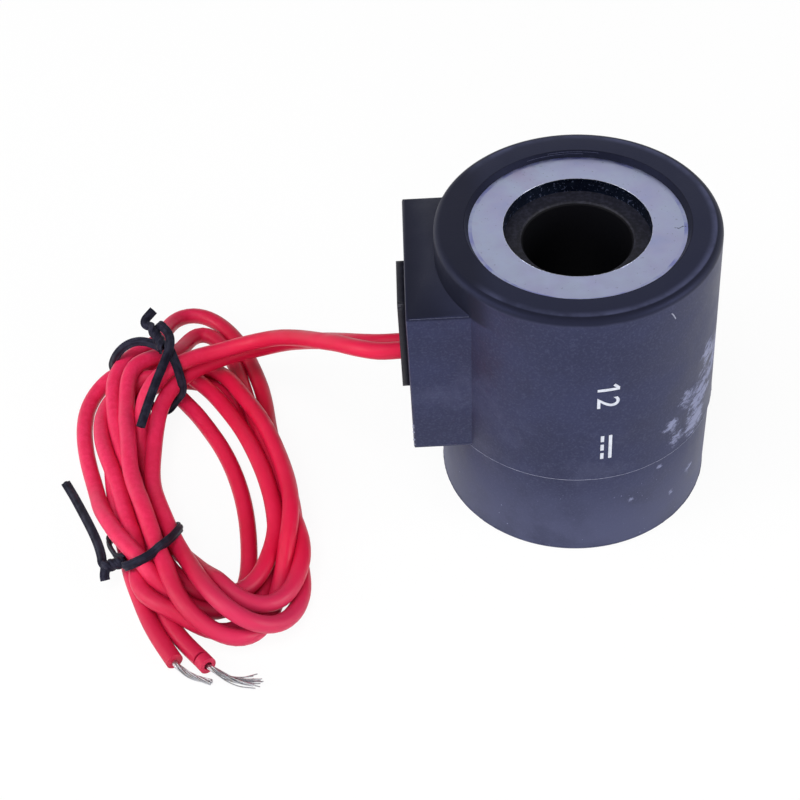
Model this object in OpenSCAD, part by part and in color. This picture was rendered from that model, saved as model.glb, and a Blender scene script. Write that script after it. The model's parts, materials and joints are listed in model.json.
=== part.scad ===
// Encapsulated coil of a cartridge solenoid valve, with two flying leads tied in a hank.
// Origin: centre of the bore on the base plane. +Z runs up the bore, and the lead boss points to -X.
// Sizes in millimetres. The body is sized from the inside out: bore, winding, steel, wall.

/* [Body] */
// Overall height, base to top rim
coil_h = 49; // [46:0.5:60]
// Height of the seam between the two shells, and of the underside of the lead boss
seam_z = 16.8; // [14:0.1:18]
// Wall of the upper shell at the rim
wall_t = 2.2; // [1.8:0.1:4]
// How much the upper shell widens in radius from the rim down to the seam
upper_draft = 0.45; // [0.1:0.05:0.8]
// Step in radius at the seam
seam_step = 0.25; // [0.1:0.05:0.5]
// How much the base shell narrows in radius from the seam down to the base
lower_draft = 0.15; // [0.05:0.05:0.4]
// Fillet on the outer edge of the rim
rim_fillet = 1.1; // [0.2:0.1:1.2]
// Fillet on the outer edge of the base
base_fillet = 0.4; // [0.2:0.1:0.8]
// Height of the lap joint at the seam
lap_h = 3; // [1.5:0.5:3.5]
// Radial thickness of the base shell's tongue in the lap joint
lap_t = 0.9; // [0.6:0.1:1.1]

/* [End recesses] */
// Depth of the recess at each end, down to the flux washer
recess_depth = 0.9; // [0.6:0.1:2.5]
// How far the lip of each shell covers the rim of its flux washer
lip_over = 2.8; // [1:0.1:3]
// Widening of the recess from the washer out to its mouth, in radius
recess_flare = 0.6; // [0.2:0.1:1.4]

/* [Magnetic circuit] */
// Thickness of the flux washers
washer_t = 2.4; // [1:0.1:3]
// Width of the bobbin ledge left bare inside the top washer
ledge_w = 2.8; // [2.2:0.1:4]
// Wall of the flux sleeve
sleeve_t = 1.6; // [1:0.1:2.5]
// Width of the open seam of the flux sleeve, where the leads pass
sleeve_gap = 12; // [9:0.5:16]
// How far the washers stand past the flux sleeve, in radius
washer_over = 0.2; // [0:0.05:0.6]

/* [Bobbin and winding] */
// Diameter of the through bore
bore_d = 16; // [14:0.1:20]
// Wall of the bobbin tube
tube_wall = 2; // [1.2:0.1:2.2]
// Thickness of the bobbin flanges
flange_t = 1.6; // [1.2:0.1:2.5]
// How far the flanges stand past the wrapped winding, in radius
flange_over = 1; // [0.8:0.1:1.5]
// Chamfer at the top mouth of the bore
bore_chamfer = 0.4; // [0.2:0.1:0.6]
// Radial depth of the copper winding
winding_depth = 5; // [3:0.1:7]
// Thickness of the tape wrapped round the winding
wrap_t = 0.4; // [0.2:0.1:0.8]
// Diameter of the winding's own wire
magnet_wire_d = 0.7; // [0.4:0.1:0.8]

/* [Lead boss] */
// How far the outer face of the boss stands out past the rim
boss_out = 4.5; // [3.8:0.1:7]
// Width of the boss
boss_w = 26.8; // [24:0.1:32]
// Distance from the rim down to the top of the boss
boss_drop = 5.1; // [4:0.1:6]
// Wall of the boss round its pocket
boss_wall = 2.5; // [1.5:0.1:3]
// Edge radius of the boss
boss_edge = 0.5; // [0.2:0.1:1]

/* [Lead grommet] */
// Width of the raised pad of the grommet
pad_w = 10.8; // [9.5:0.1:14]
// Height of the raised pad of the grommet
pad_h = 18; // [16:0.1:20]
// How far the pad stands out of the boss
pad_proud = 1.3; // [0.6:0.1:2]
// Corner radius of the pad
pad_corner = 1.8; // [0.5:0.1:3]
// Edge radius of the pad's outer face
pad_edge = 0.4; // [0.1:0.1:0.6]
// Width of the pad's land round the grommet's neck
pad_land = 1.4; // [0.8:0.1:1.8]
// Distance of the lead exits below the middle of the pad
exit_drop = 4.6; // [2:0.1:5]
// Gap between the sleeves behind the two lead exits
exit_gap = 0.15; // [0.1:0.05:0.8]
// Difference in height of the two lead exits
exit_tilt = 1.3; // [0.8:0.1:2]

/* [Leads and splices] */
// Outside diameter of the insulated leads
lead_d = 2.7; // [2.2:0.1:2.8]
// Diameter of the stranded conductor
conductor_d = 1.2; // [0.8:0.1:1.4]
// Diameter of the crimp splices
crimp_d = 2.6; // [2:0.1:2.6]
// Wall of the sleeves over the splices
splice_wall = 0.25; // [0.15:0.05:0.3]
// Length of lead inside the boss, past the grommet
lead_inside = 0.7; // [0.4:0.1:1]
// Length of the cut slug of insulation
slug_l = 1.6; // [1:0.1:3]
// Gap that the knife left behind the slug
slug_gap = 0.3; // [0.1:0.1:0.6]

/* [Hank and ties] */
// Thickness of the tie strip
tie_t = 0.9; // [0.8:0.1:0.9]
// Width of the tie strip
tie_w = 1.6; // [1.2:0.1:2]
// Height of the hank's two layers of lead
hank_h = 4.4; // [3.5:0.1:4.4]

/* [Clearances] */
// Clearance in radius of the washers in the shells, and of the bobbin tube in the bottom washer
shell_fit = 0.1; // [0.05:0.05:0.2]
// Clearance of the lap joint, in radius and in height
lap_fit = 0.1; // [0.05:0.05:0.2]
// Clearance in radius of the flux sleeve over the bobbin flanges
sleeve_fit = 0.3; // [0.1:0.05:0.5]
// Clearance of the winding and its wrap on the bobbin
wind_fit = 0.05; // [0.05:0.05:0.2]
// Clearance of the grommet's neck in its window
grommet_fit = 0.05; // [0.05:0.05:0.2]
// Clearance under the ties, which keeps the hank's weight off their turned edges
tie_fit = 0.05; // [0.05:0.05:0.1]
// Clearance in radius of the leads, the conductor and the splices in their sleeves and holes
lead_fit = 0.05; // [0.05:0.05:0.1]

/* [Hidden] */
$fn = 96;
// A cut runs this far past the face that it opens
over = 1;

// Radii, from the bore outwards
bore_r = bore_d / 2;
tube_r = bore_r + tube_wall;
winding_r = tube_r + winding_depth;
wrap_r = winding_r + wind_fit + wrap_t;
flange_r = wrap_r + wind_fit + flange_over;
sleeve_in_r = flange_r + sleeve_fit;
sleeve_out_r = sleeve_in_r + sleeve_t;
washer_r = sleeve_out_r + washer_over;
cavity_r = washer_r + shell_fit;
rim_r = cavity_r + wall_t;
seam_upper_r = rim_r + upper_draft;
seam_lower_r = seam_upper_r - seam_step;
base_r = seam_lower_r - lower_draft;
tongue_r = cavity_r + lap_t;
rebate_r = tongue_r + lap_fit;
recess_floor_r = washer_r - lip_over;
recess_mouth_r = recess_floor_r + recess_flare;

// Heights, from the base up
bottom_seat_z = recess_depth + washer_t;
top_seat_z = coil_h - recess_depth - washer_t;
winding_low_z = bottom_seat_z + flange_t + wind_fit;
winding_high_z = top_seat_z - flange_t - wind_fit;
lap_top_z = seam_z + lap_h;

// Lead boss and its pocket
boss_x = rim_r + boss_out;
boss_top_z = coil_h - boss_drop;
boss_h = boss_top_z - seam_z;
pocket_x = boss_x - boss_wall;
pocket_w = boss_w - 2 * boss_wall;
pocket_low_z = lap_top_z + lap_fit + boss_edge;
pocket_high_z = boss_top_z - boss_wall;

// Grommet and lead exits: lead a leaves on the front side and a little higher
pad_mid_z = seam_z + boss_h / 2;
neck_w = pad_w - 2 * pad_land;
neck_h = pad_h - 2 * pad_land;
neck_corner = max(pad_corner - pad_land, pad_edge);
exit_z = pad_mid_z - exit_drop;
splice_r = max(crimp_d, lead_d) / 2 + lead_fit;
exit_pitch = sqrt(pow(2 * (splice_r + splice_wall) + exit_gap, 2) - pow(exit_tilt, 2));
exit_a = [-exit_pitch / 2, exit_z + exit_tilt / 2];
exit_b = [exit_pitch / 2, exit_z - exit_tilt / 2];
lead_end_x = pocket_x - lead_inside;

// Splices lie behind the grommet and reach through the sleeve's gap to the winding
splice_end_x = wrap_r + 3 * magnet_wire_d;
crimp_l = lead_end_x - splice_end_x;
crimp_waist = crimp_d / 8;
wire_run_r = (wrap_r + sleeve_in_r) / 2;
wire_slot_w = magnet_wire_d + 10 * wind_fit;

// Route of the leads from the boss down to the hank, and of their tails
lead_sides = 8;
lead_a_route = [[-30, -1.6, 26.4], [-33.5, 0.2, 25.6], [-36.5, 3.2, 23.8], [-40, 7, 21], [-43.5, 11, 17.9],
    [-47, 14.4, 14.9], [-50.5, 16.5, 12.4], [-54, 17.4, 10.7], [-57.5, 17.2, 9.8], [-61, 16.3, 9.7],
    [-64, 15, 9.6], [-66.6, 13.8, 9.2], [-68.8, 12, 8.2], [-70.3, 9.6, 7.2]];
lead_b_route = [[-30, 1.9, 24.8], [-33.5, 3.6, 23.5], [-36.5, 6.8, 20.8], [-40, 10.8, 17.2], [-43.5, 14.7, 13.5],
    [-47, 17.7, 10.3], [-50.8, 19.1, 8.1], [-54.4, 19.2, 7.1], [-58, 18.2, 6.8], [-61.2, 16.5, 6.8],
    [-64.2, 14.2, 6.8], [-66.2, 11.2, 6.8], [-67.3, 8.1, 6.8]];
tail_a_route = [[-72.3, -21.6, 1.4], [-70.6, -24.6, 1.4], [-68.5, -28.6, 1.4], [-66.2, -33.2, 1.4],
    [-64, -37, 1.4], [-62.4, -39.7, 1.4]];
tail_b_route = [[-62, -34.9, 1.4], [-60, -37.7, 1.6], [-58.4, -39.8, 1.9]];
strands_a_route = [[-60.6, -41.4, 0.8], [-59.6, -42, 0.7]];
strands_b_route = [[-56.3, -42, 2], [-54.5, -43, 1.5], [-52.5, -43.7, 1], [-50.2, -44, 0.8]];

// Hank outline on the floor: circles that round its ends and its bends, [x, y, radius]
hank_outer = [[-62.5, 27, 8.6], [-70.6, 8, 11], [-58.5, 12, 10], [-68.5, -4, 10.5], [-52.9, -25, 11.6]];
hank_inner = [[-65.4, 9.4, 2.2], [-62, -2.5, 4.9], [-57.6, -16, 4.4], [-55.6, -24.6, 2.4]];

// Ties: each strip runs from its knot over the hank, down, back under it and up to the knot again
flat_z = tie_t / 2 + tie_fit;
turn_z = 0.75 * tie_t;
upper_tie_knot = [-67.8, 19.2, 12];
upper_tie_loop = [upper_tie_knot, [-70.4, 20.2, 11.2], [-73.2, 20.8, 10.2], [-75.6, 21.4, 8.2], [-77.1, 22, 5.6],
    [-77.7, 22.6, 2.8], [-77.2, 22.3, turn_z], [-75.9, 20.9, flat_z], [-67, 10.7, flat_z],
    [-65.9, 9.4, turn_z], [-65.2, 8.8, 2.4], [-64.6, 8.8, 4.6], [-63.8, 9.6, 7.4], [-63.4, 11.4, 9.8],
    [-63.7, 13.6, 11.5], [-65.2, 16.6, 11.9], upper_tie_knot];
upper_tie_tail = [upper_tie_knot, [-66.4, 19.6, 12.8], [-65.2, 17.8, 12.9], [-65.4, 15.3, 12.4], [-66.5, 12.8, 11.7],
    [-68, 9.7, 10.1], [-69.6, 5.8, 7.6], [-70.1, 3.4, 6.4]];
upper_tie_stub = [upper_tie_knot, [-69.2, 21.2, 12.2], [-70.2, 22, 12.2], [-69.6, 23.4, 12.5], [-68.6, 24.2, 13]];
upper_tie_along = [0.7, 0.7, 0];
lower_tie_knot = [-74.6, -21.8, 3.6];
lower_tie_loop = [lower_tie_knot, [-72.6, -23.6, 5], [-70.2, -24.4, 5.95], [-67.4, -23.6, 5.95], [-65, -21.8, 5.95],
    [-62.8, -19.6, 5.95], [-60.9, -17.6, 5.9], [-59.9, -15.9, 4.6], [-59.9, -14.9, 2.6], [-60.3, -14.3, turn_z],
    [-61.7, -13.9, flat_z], [-67, -13.6, flat_z], [-74.4, -14.6, flat_z], [-76, -15, turn_z], [-77, -16.6, 1.6],
    [-76.4, -19, 2.8], lower_tie_knot];
lower_tie_tail = [lower_tie_knot, [-76, -17.4, 3.4], [-78.2, -13.1, 2.4], [-80.8, -8.3, 1.6], [-83.3, -2.3, 1.2]];
lower_tie_along = [0.45, -0.89, 0];
knot_d = 2 * tie_w;

function unit(v) = v / norm(v);
function heading(route, i) = unit(route[min(i + 1, len(route) - 1)] - route[max(i - 1, 0)]);
function ring(at, along, ref, half_w, half_t, sides, turn) =
    let (u = unit(cross(ref, along)), v = cross(along, u))
    [for (k = [0 : sides - 1]) let (a = turn + 360 * k / sides) at + u * half_w * cos(a) + v * half_t * sin(a)];
function quad_faces(rings, n) = [for (i = [0 : rings - 2]) for (k = [0 : n - 1])
    let (a = i * n + k, b = i * n + (k + 1) % n) each [[a, b + n, b], [a, a + n, b + n]]];

// Bar swept along a route: round, or a flat strip when it has four sides
module swept(route, w, t, sides = lead_sides, ref = [0, 0, 1]) {
    last = len(route) - 1;
    turn = sides == 4 ? 45 : 0;
    grow = sides == 4 ? sqrt(2) : 1;
    points = [for (i = [0 : last])
        each ring(route[i], heading(route, i), ref, grow * w / 2, grow * t / 2, sides, turn)];
    first_cap = [for (k = [0 : sides - 1]) k];
    last_cap = [for (k = [sides - 1 : -1 : 0]) last * sides + k];
    polyhedron(points, concat([first_cap], quad_faces(last + 1, sides), [last_cap]));
}

module cord(route, d, ref = [0, 0, 1]) swept(route, d, d, lead_sides, ref);

// Rectangle with round corners, from the origin
module round_rect(size, r) {
    translate([r, 0]) square([size.x - 2 * r, size.y]);
    translate([0, r]) square([size.x, size.y - 2 * r]);
    for (x = [r, size.x - r], y = [r, size.y - r]) translate([x, y]) circle(r);
}

// Moulded block with every edge rounded, from the origin
module soft_block(size, r, end_r) {
    intersection() {
        linear_extrude(size.z) round_rect([size.x, size.y], r);
        translate([0, size.y, 0]) rotate([90, 0, 0]) linear_extrude(size.y) round_rect([size.x, size.z], r);
        rotate([90, 0, 90]) linear_extrude(size.x) round_rect([size.y, size.z], end_r);
    }
}

// Washer that stands on its own seat height
module washer(z, hole_r) {
    translate([0, 0, z]) difference() {
        cylinder(h = washer_t, r = washer_r);
        translate([0, 0, -over]) cylinder(h = washer_t + 2 * over, r = hole_r);
    }
}

// Quarter round of an outer edge in a revolved profile
function edge_arc(centre, r, from, to) = [for (i = [0 : 6]) let (a = from + (to - from) * i / 6)
    centre + r * [cos(a), sin(a)]];

module housing_shell() {
    rotate_extrude() polygon(concat(
        [[seam_upper_r, seam_z]],
        edge_arc([rim_r - rim_fillet, coil_h - rim_fillet], rim_fillet, 0, 90),
        [[recess_mouth_r, coil_h], [recess_floor_r, coil_h - recess_depth], [cavity_r, coil_h - recess_depth],
         [cavity_r, lap_top_z + lap_fit], [rebate_r, lap_top_z + lap_fit], [rebate_r, seam_z]]));
}

module housing() {
    color("#2b2c38") difference() {
        union() {
            housing_shell();
            difference() {
                translate([-boss_x, -boss_w / 2, seam_z]) soft_block([boss_x, boss_w, boss_h], boss_edge, boss_edge);
                translate([0, 0, seam_z - over]) cylinder(h = boss_h + 2 * over, r = rebate_r + lap_fit);
            }
        }
        translate([-pocket_x, -pocket_w / 2, pocket_low_z])
            cube([pocket_x - tube_r, pocket_w, pocket_high_z - pocket_low_z]);
        translate([-boss_x - over, -neck_w / 2 - grommet_fit, pad_mid_z - neck_h / 2 - grommet_fit])
            rotate([90, 0, 90]) linear_extrude(boss_wall + 2 * over)
            round_rect([neck_w + 2 * grommet_fit, neck_h + 2 * grommet_fit], neck_corner);
    }
}

module base_shell() {
    color("#2a2b35") rotate_extrude() polygon(concat(
        edge_arc([base_r - base_fillet, base_fillet], base_fillet, -90, 0),
        [[seam_lower_r, seam_z], [tongue_r, seam_z], [tongue_r, lap_top_z], [cavity_r, lap_top_z],
         [cavity_r, recess_depth], [recess_floor_r, recess_depth], [recess_mouth_r, 0]]));
}

module top_flux_washer() { color("#a9adbd") washer(top_seat_z, bore_r + ledge_w); }

module bottom_flux_washer() { color("#a9adbd") washer(recess_depth, tube_r + shell_fit); }

module flux_sleeve() {
    sleeve_h = top_seat_z - bottom_seat_z;
    color("#8f929c") translate([0, 0, bottom_seat_z]) difference() {
        cylinder(h = sleeve_h, r = sleeve_out_r);
        translate([0, 0, -over]) cylinder(h = sleeve_h + 2 * over, r = sleeve_in_r);
        translate([-sleeve_out_r - over, -sleeve_gap / 2, -over])
            cube([sleeve_out_r + over, sleeve_gap, sleeve_h + 2 * over]);
    }
}

module bobbin() {
    color("#1c1d22") difference() {
        rotate_extrude() polygon([[bore_r, 0], [tube_r, 0], [tube_r, bottom_seat_z], [flange_r, bottom_seat_z],
            [flange_r, bottom_seat_z + flange_t], [tube_r, bottom_seat_z + flange_t],
            [tube_r, top_seat_z - flange_t], [flange_r, top_seat_z - flange_t], [flange_r, top_seat_z],
            [bore_r + bore_chamfer, top_seat_z], [bore_r, top_seat_z - bore_chamfer]]);
        // Slot that leads the start of the winding out through the top flange
        translate([-flange_r - over, exit_b[0] - wire_slot_w / 2, top_seat_z - flange_t - over])
            cube([flange_r - tube_r + over, wire_slot_w, flange_t - ledge_floor() + over]);
    }
}

// Skin left over the wire slot, so that the bobbin's end face stays whole
function ledge_floor() = (flange_t - magnet_wire_d) / 4;

module winding() {
    color("#b5693a") translate([0, 0, winding_low_z]) difference() {
        cylinder(h = winding_high_z - winding_low_z, r = winding_r);
        translate([0, 0, -over]) cylinder(h = coil_h, r = tube_r + wind_fit);
    }
}

module winding_wrap() {
    color("#c9a53c") translate([0, 0, winding_low_z]) difference() {
        cylinder(h = winding_high_z - winding_low_z, r = wrap_r);
        translate([0, 0, -over]) cylinder(h = coil_h, r = winding_r + wind_fit);
    }
}

// Last bend of a winding wire, from its run beside the wrap into the end of its crimp
function wire_bend(exit) = let (d = magnet_wire_d) [[-wire_run_r, exit[0], exit[1] + d],
    [-wire_run_r - d / 4, exit[0], exit[1] + d / 4], [-wire_run_r - d, exit[0], exit[1]],
    [-splice_end_x, exit[0], exit[1]]];

module winding_start_wire() {
    d = magnet_wire_d;
    y = exit_b[0];
    slot_z = winding_high_z + d / 2;
    color("#b5693a") cord(concat([[-tube_r - d, y, slot_z], [-wire_run_r + d, y, slot_z],
        [-wire_run_r + d / 4, y, slot_z - d / 4], [-wire_run_r, y, slot_z - d]], wire_bend(exit_b)), d, [0, 1, 0]);
}

module winding_finish_wire() {
    rise = 4 * magnet_wire_d;
    lift = wrap_r + magnet_wire_d / 2 + 3 * wind_fit;
    swing = asin(2 * exit_pitch / lift);
    color("#b5693a") cord(concat([for (k = [1, 0.5])
        [-lift * cos(k * swing), -lift * sin(k * swing), exit_a[1] + 2 * k * rise]], wire_bend(exit_a)),
        magnet_wire_d, [0, 1, 0]);
}

// Barrel crimped at its middle, on the axis of a lead exit
module crimp(exit) {
    color("#c4c6cc") translate([-lead_end_x, exit[0], exit[1]]) rotate([0, 90, 0]) rotate_extrude()
        polygon([[0, 0], [crimp_d / 2, 0], [crimp_d / 2, crimp_l * 0.2], [crimp_d / 2 - crimp_waist, crimp_l * 0.35],
            [crimp_d / 2 - crimp_waist, crimp_l * 0.65], [crimp_d / 2, crimp_l * 0.8], [crimp_d / 2, crimp_l],
            [0, crimp_l]]);
}

// Sleeve over the crimp and the end of the lead
module splice_sleeve(exit) {
    h = crimp_l + lead_inside / 2;
    color("#202126") translate([-lead_end_x - lead_inside / 2, exit[0], exit[1]]) rotate([0, 90, 0]) difference() {
        cylinder(h = h, r = splice_r + splice_wall);
        translate([0, 0, -over]) cylinder(h = h + 2 * over, r = splice_r);
    }
}

module crimp_splice_a() { crimp(exit_a); }

module crimp_splice_b() { crimp(exit_b); }

module splice_sleeve_a() { splice_sleeve(exit_a); }

module splice_sleeve_b() { splice_sleeve(exit_b); }

module lead_grommet() {
    color("#26272f") difference() {
        union() {
            translate([-boss_x - pad_proud, -pad_w / 2, pad_mid_z - pad_h / 2]) intersection() {
                soft_block([2 * pad_proud, pad_w, pad_h], pad_edge, pad_corner);
                cube([pad_proud, pad_w, pad_h]);
            }
            translate([-boss_x, -neck_w / 2, pad_mid_z - neck_h / 2]) rotate([90, 0, 90])
                linear_extrude(boss_wall) round_rect([neck_w, neck_h], neck_corner);
        }
        for (exit = [exit_a, exit_b]) translate([-boss_x - pad_proud - over, exit[0], exit[1]]) rotate([0, 90, 0])
            cylinder(h = boss_wall + pad_proud + 2 * over, r = lead_d / 2 + lead_fit);
    }
}

// Straight start of a lead: from its splice, through the grommet
function lead_start(exit) = [for (x = [lead_end_x, boss_x + pad_proud]) [-x, exit[0], exit[1]]];

module lead_a() { color("#d01f37") cord(concat(lead_start(exit_a), lead_a_route), lead_d); }

module lead_b() { color("#d01f37") cord(concat(lead_start(exit_b), lead_b_route), lead_d); }

module lead_hank() {
    color("#c81d35") translate([0, 0, tie_t + 2 * tie_fit]) linear_extrude(hank_h) difference() {
        hull() for (c = hank_outer) translate([c.x, c.y]) circle(c.z, $fn = 48);
        hull() for (c = hank_inner) translate([c.x, c.y]) circle(c.z, $fn = 32);
    }
}

module lead_a_tail() { color("#d01f37") cord(tail_a_route, lead_d); }

module lead_b_tail() { color("#d01f37") cord(tail_b_route, lead_d); }

// Last point of a route, and the point this far past it
function last_of(route) = route[len(route) - 1];
function past_end(route, reach) = last_of(route) + reach * heading(route, len(route) - 1);

module lead_a_strands() {
    bare = [last_of(tail_a_route), past_end(tail_a_route, conductor_d)];
    color("#c9cbd2") cord(concat(bare, strands_a_route), conductor_d);
}

module lead_b_strands() {
    bare = [last_of(tail_b_route), past_end(tail_b_route, slug_gap + slug_l)];
    color("#c9cbd2") cord(concat(bare, strands_b_route), conductor_d);
}

// The slug lies in line with the cut end of lead b
module insulation_slug() {
    along = heading(tail_b_route, len(tail_b_route) - 1);
    color("#d01f37") translate(past_end(tail_b_route, slug_gap))
        rotate([0, acos(along.z), atan2(along.y, along.x)]) difference() {
            cylinder(h = slug_l, d = lead_d);
            translate([0, 0, -over]) cylinder(h = slug_l + 2 * over, r = conductor_d / 2 + lead_fit);
        }
}

// Loop of strip that lies flat on the hank, closed by a twisted knot
module tie_loop(route, along) {
    swept(route, tie_t, tie_w, 4, along);
    translate(route[0]) sphere(d = knot_d, $fn = 16);
}

module upper_tie() {
    color("#23262e") {
        tie_loop(upper_tie_loop, upper_tie_along);
        swept(upper_tie_tail, tie_w, tie_t, 4);
        swept(upper_tie_stub, tie_w, tie_t, 4);
    }
}

module lower_tie() {
    color("#23262e") {
        tie_loop(lower_tie_loop, lower_tie_along);
        swept(lower_tie_tail, tie_w, tie_t, 4);
    }
}

housing();
base_shell();
top_flux_washer();
bottom_flux_washer();
flux_sleeve();
bobbin();
winding();
winding_wrap();
winding_start_wire();
winding_finish_wire();
crimp_splice_a();
crimp_splice_b();
splice_sleeve_a();
splice_sleeve_b();
lead_grommet();
lead_a();
lead_b();
lead_hank();
lead_a_tail();
lead_b_tail();
lead_a_strands();
lead_b_strands();
insulation_slug();
upper_tie();
lower_tie();
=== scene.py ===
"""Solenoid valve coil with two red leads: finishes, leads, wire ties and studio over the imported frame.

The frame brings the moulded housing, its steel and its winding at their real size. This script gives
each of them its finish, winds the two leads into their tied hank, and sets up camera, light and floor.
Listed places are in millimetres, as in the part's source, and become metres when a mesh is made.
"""

from __future__ import annotations

import json
import logging
import math
from dataclasses import dataclass, field
from enum import Enum
from typing import Any

import bmesh
import bpy
import numpy as np
from bpy.types import Material, Mesh, Node, NodeSocket, NodeTree, Object
from mathutils import Matrix, Vector

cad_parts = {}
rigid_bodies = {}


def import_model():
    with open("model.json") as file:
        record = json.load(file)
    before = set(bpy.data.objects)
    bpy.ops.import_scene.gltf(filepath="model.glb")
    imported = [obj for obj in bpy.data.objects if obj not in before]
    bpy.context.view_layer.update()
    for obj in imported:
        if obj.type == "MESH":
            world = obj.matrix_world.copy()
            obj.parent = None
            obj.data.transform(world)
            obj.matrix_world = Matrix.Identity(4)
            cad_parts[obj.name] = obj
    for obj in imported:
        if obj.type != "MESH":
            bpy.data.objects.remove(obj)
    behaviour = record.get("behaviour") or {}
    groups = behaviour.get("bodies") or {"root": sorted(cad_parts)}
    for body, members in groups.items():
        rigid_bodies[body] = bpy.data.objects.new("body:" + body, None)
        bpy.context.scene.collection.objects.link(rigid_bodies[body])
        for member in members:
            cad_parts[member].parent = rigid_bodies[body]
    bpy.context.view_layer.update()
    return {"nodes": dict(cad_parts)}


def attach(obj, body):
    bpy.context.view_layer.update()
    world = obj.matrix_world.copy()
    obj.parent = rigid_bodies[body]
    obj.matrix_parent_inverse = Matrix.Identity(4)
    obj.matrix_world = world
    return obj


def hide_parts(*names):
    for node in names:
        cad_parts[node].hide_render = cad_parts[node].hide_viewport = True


LOG = logging.getLogger("coil_scene")
BODY = "root"
MM = 0.001
# Sizes in millimetres: a lead, the round wall between rim and seam, corners that are joined, a mask's edge.
LEAD_RADIUS = 1.35
WALL_RADII = (20.8, 21.5)
JOIN_GAP = 0.002
EDGE_BLUR = 0.04
# How far one layer of strands lies above the next, in lead diameters.
LAYER_RISE = 0.926
# The turn in radians that spreads points evenly over a disc.
GOLDEN_ANGLE = 2.39996
Point = tuple[float, float, float]
Span = tuple[float, float]
Spot = tuple[Point, float]


def clear_start_scene() -> None:
    """Removes the objects that a new Blender file starts with."""
    for leftover in list(bpy.data.objects):
        bpy.data.objects.remove(leftover)


clear_start_scene()
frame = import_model()


def linear(hex_colour: str) -> tuple[float, float, float, float]:
    """Turns an sRGB hex colour into linear light.

    Args:
        hex_colour: six hex digits, with or without a leading hash.

    Returns:
        Linear red, green, blue and an alpha of 1.
    """
    digits = hex_colour.lstrip("#")
    channels = []
    for start in (0, 2, 4):
        value = int(digits[start:start + 2], 16) / 255
        channels.append(value / 12.92 if value <= 0.04045 else ((value + 0.055) / 1.055) ** 2.4)
    return channels[0], channels[1], channels[2], 1.0


def add_node(tree: NodeTree, kind: str, inputs: dict[str | int, Any] | None = None,
             **settings: Any) -> Node:
    """Adds one node with its settings, values and links.

    Args:
        tree: the node tree that gets the node.
        kind: the node's type name.
        inputs: by socket name or number, a value to set or an output socket to link from.
        settings: the node's own properties.

    Returns:
        The new node.
    """
    node = tree.nodes.new(kind)
    for name, value in settings.items():
        setattr(node, name, value)
    for socket, value in (inputs or {}).items():
        if isinstance(value, NodeSocket):
            tree.links.new(value, node.inputs[socket])
        else:
            node.inputs[socket].default_value = value
    return node


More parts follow.
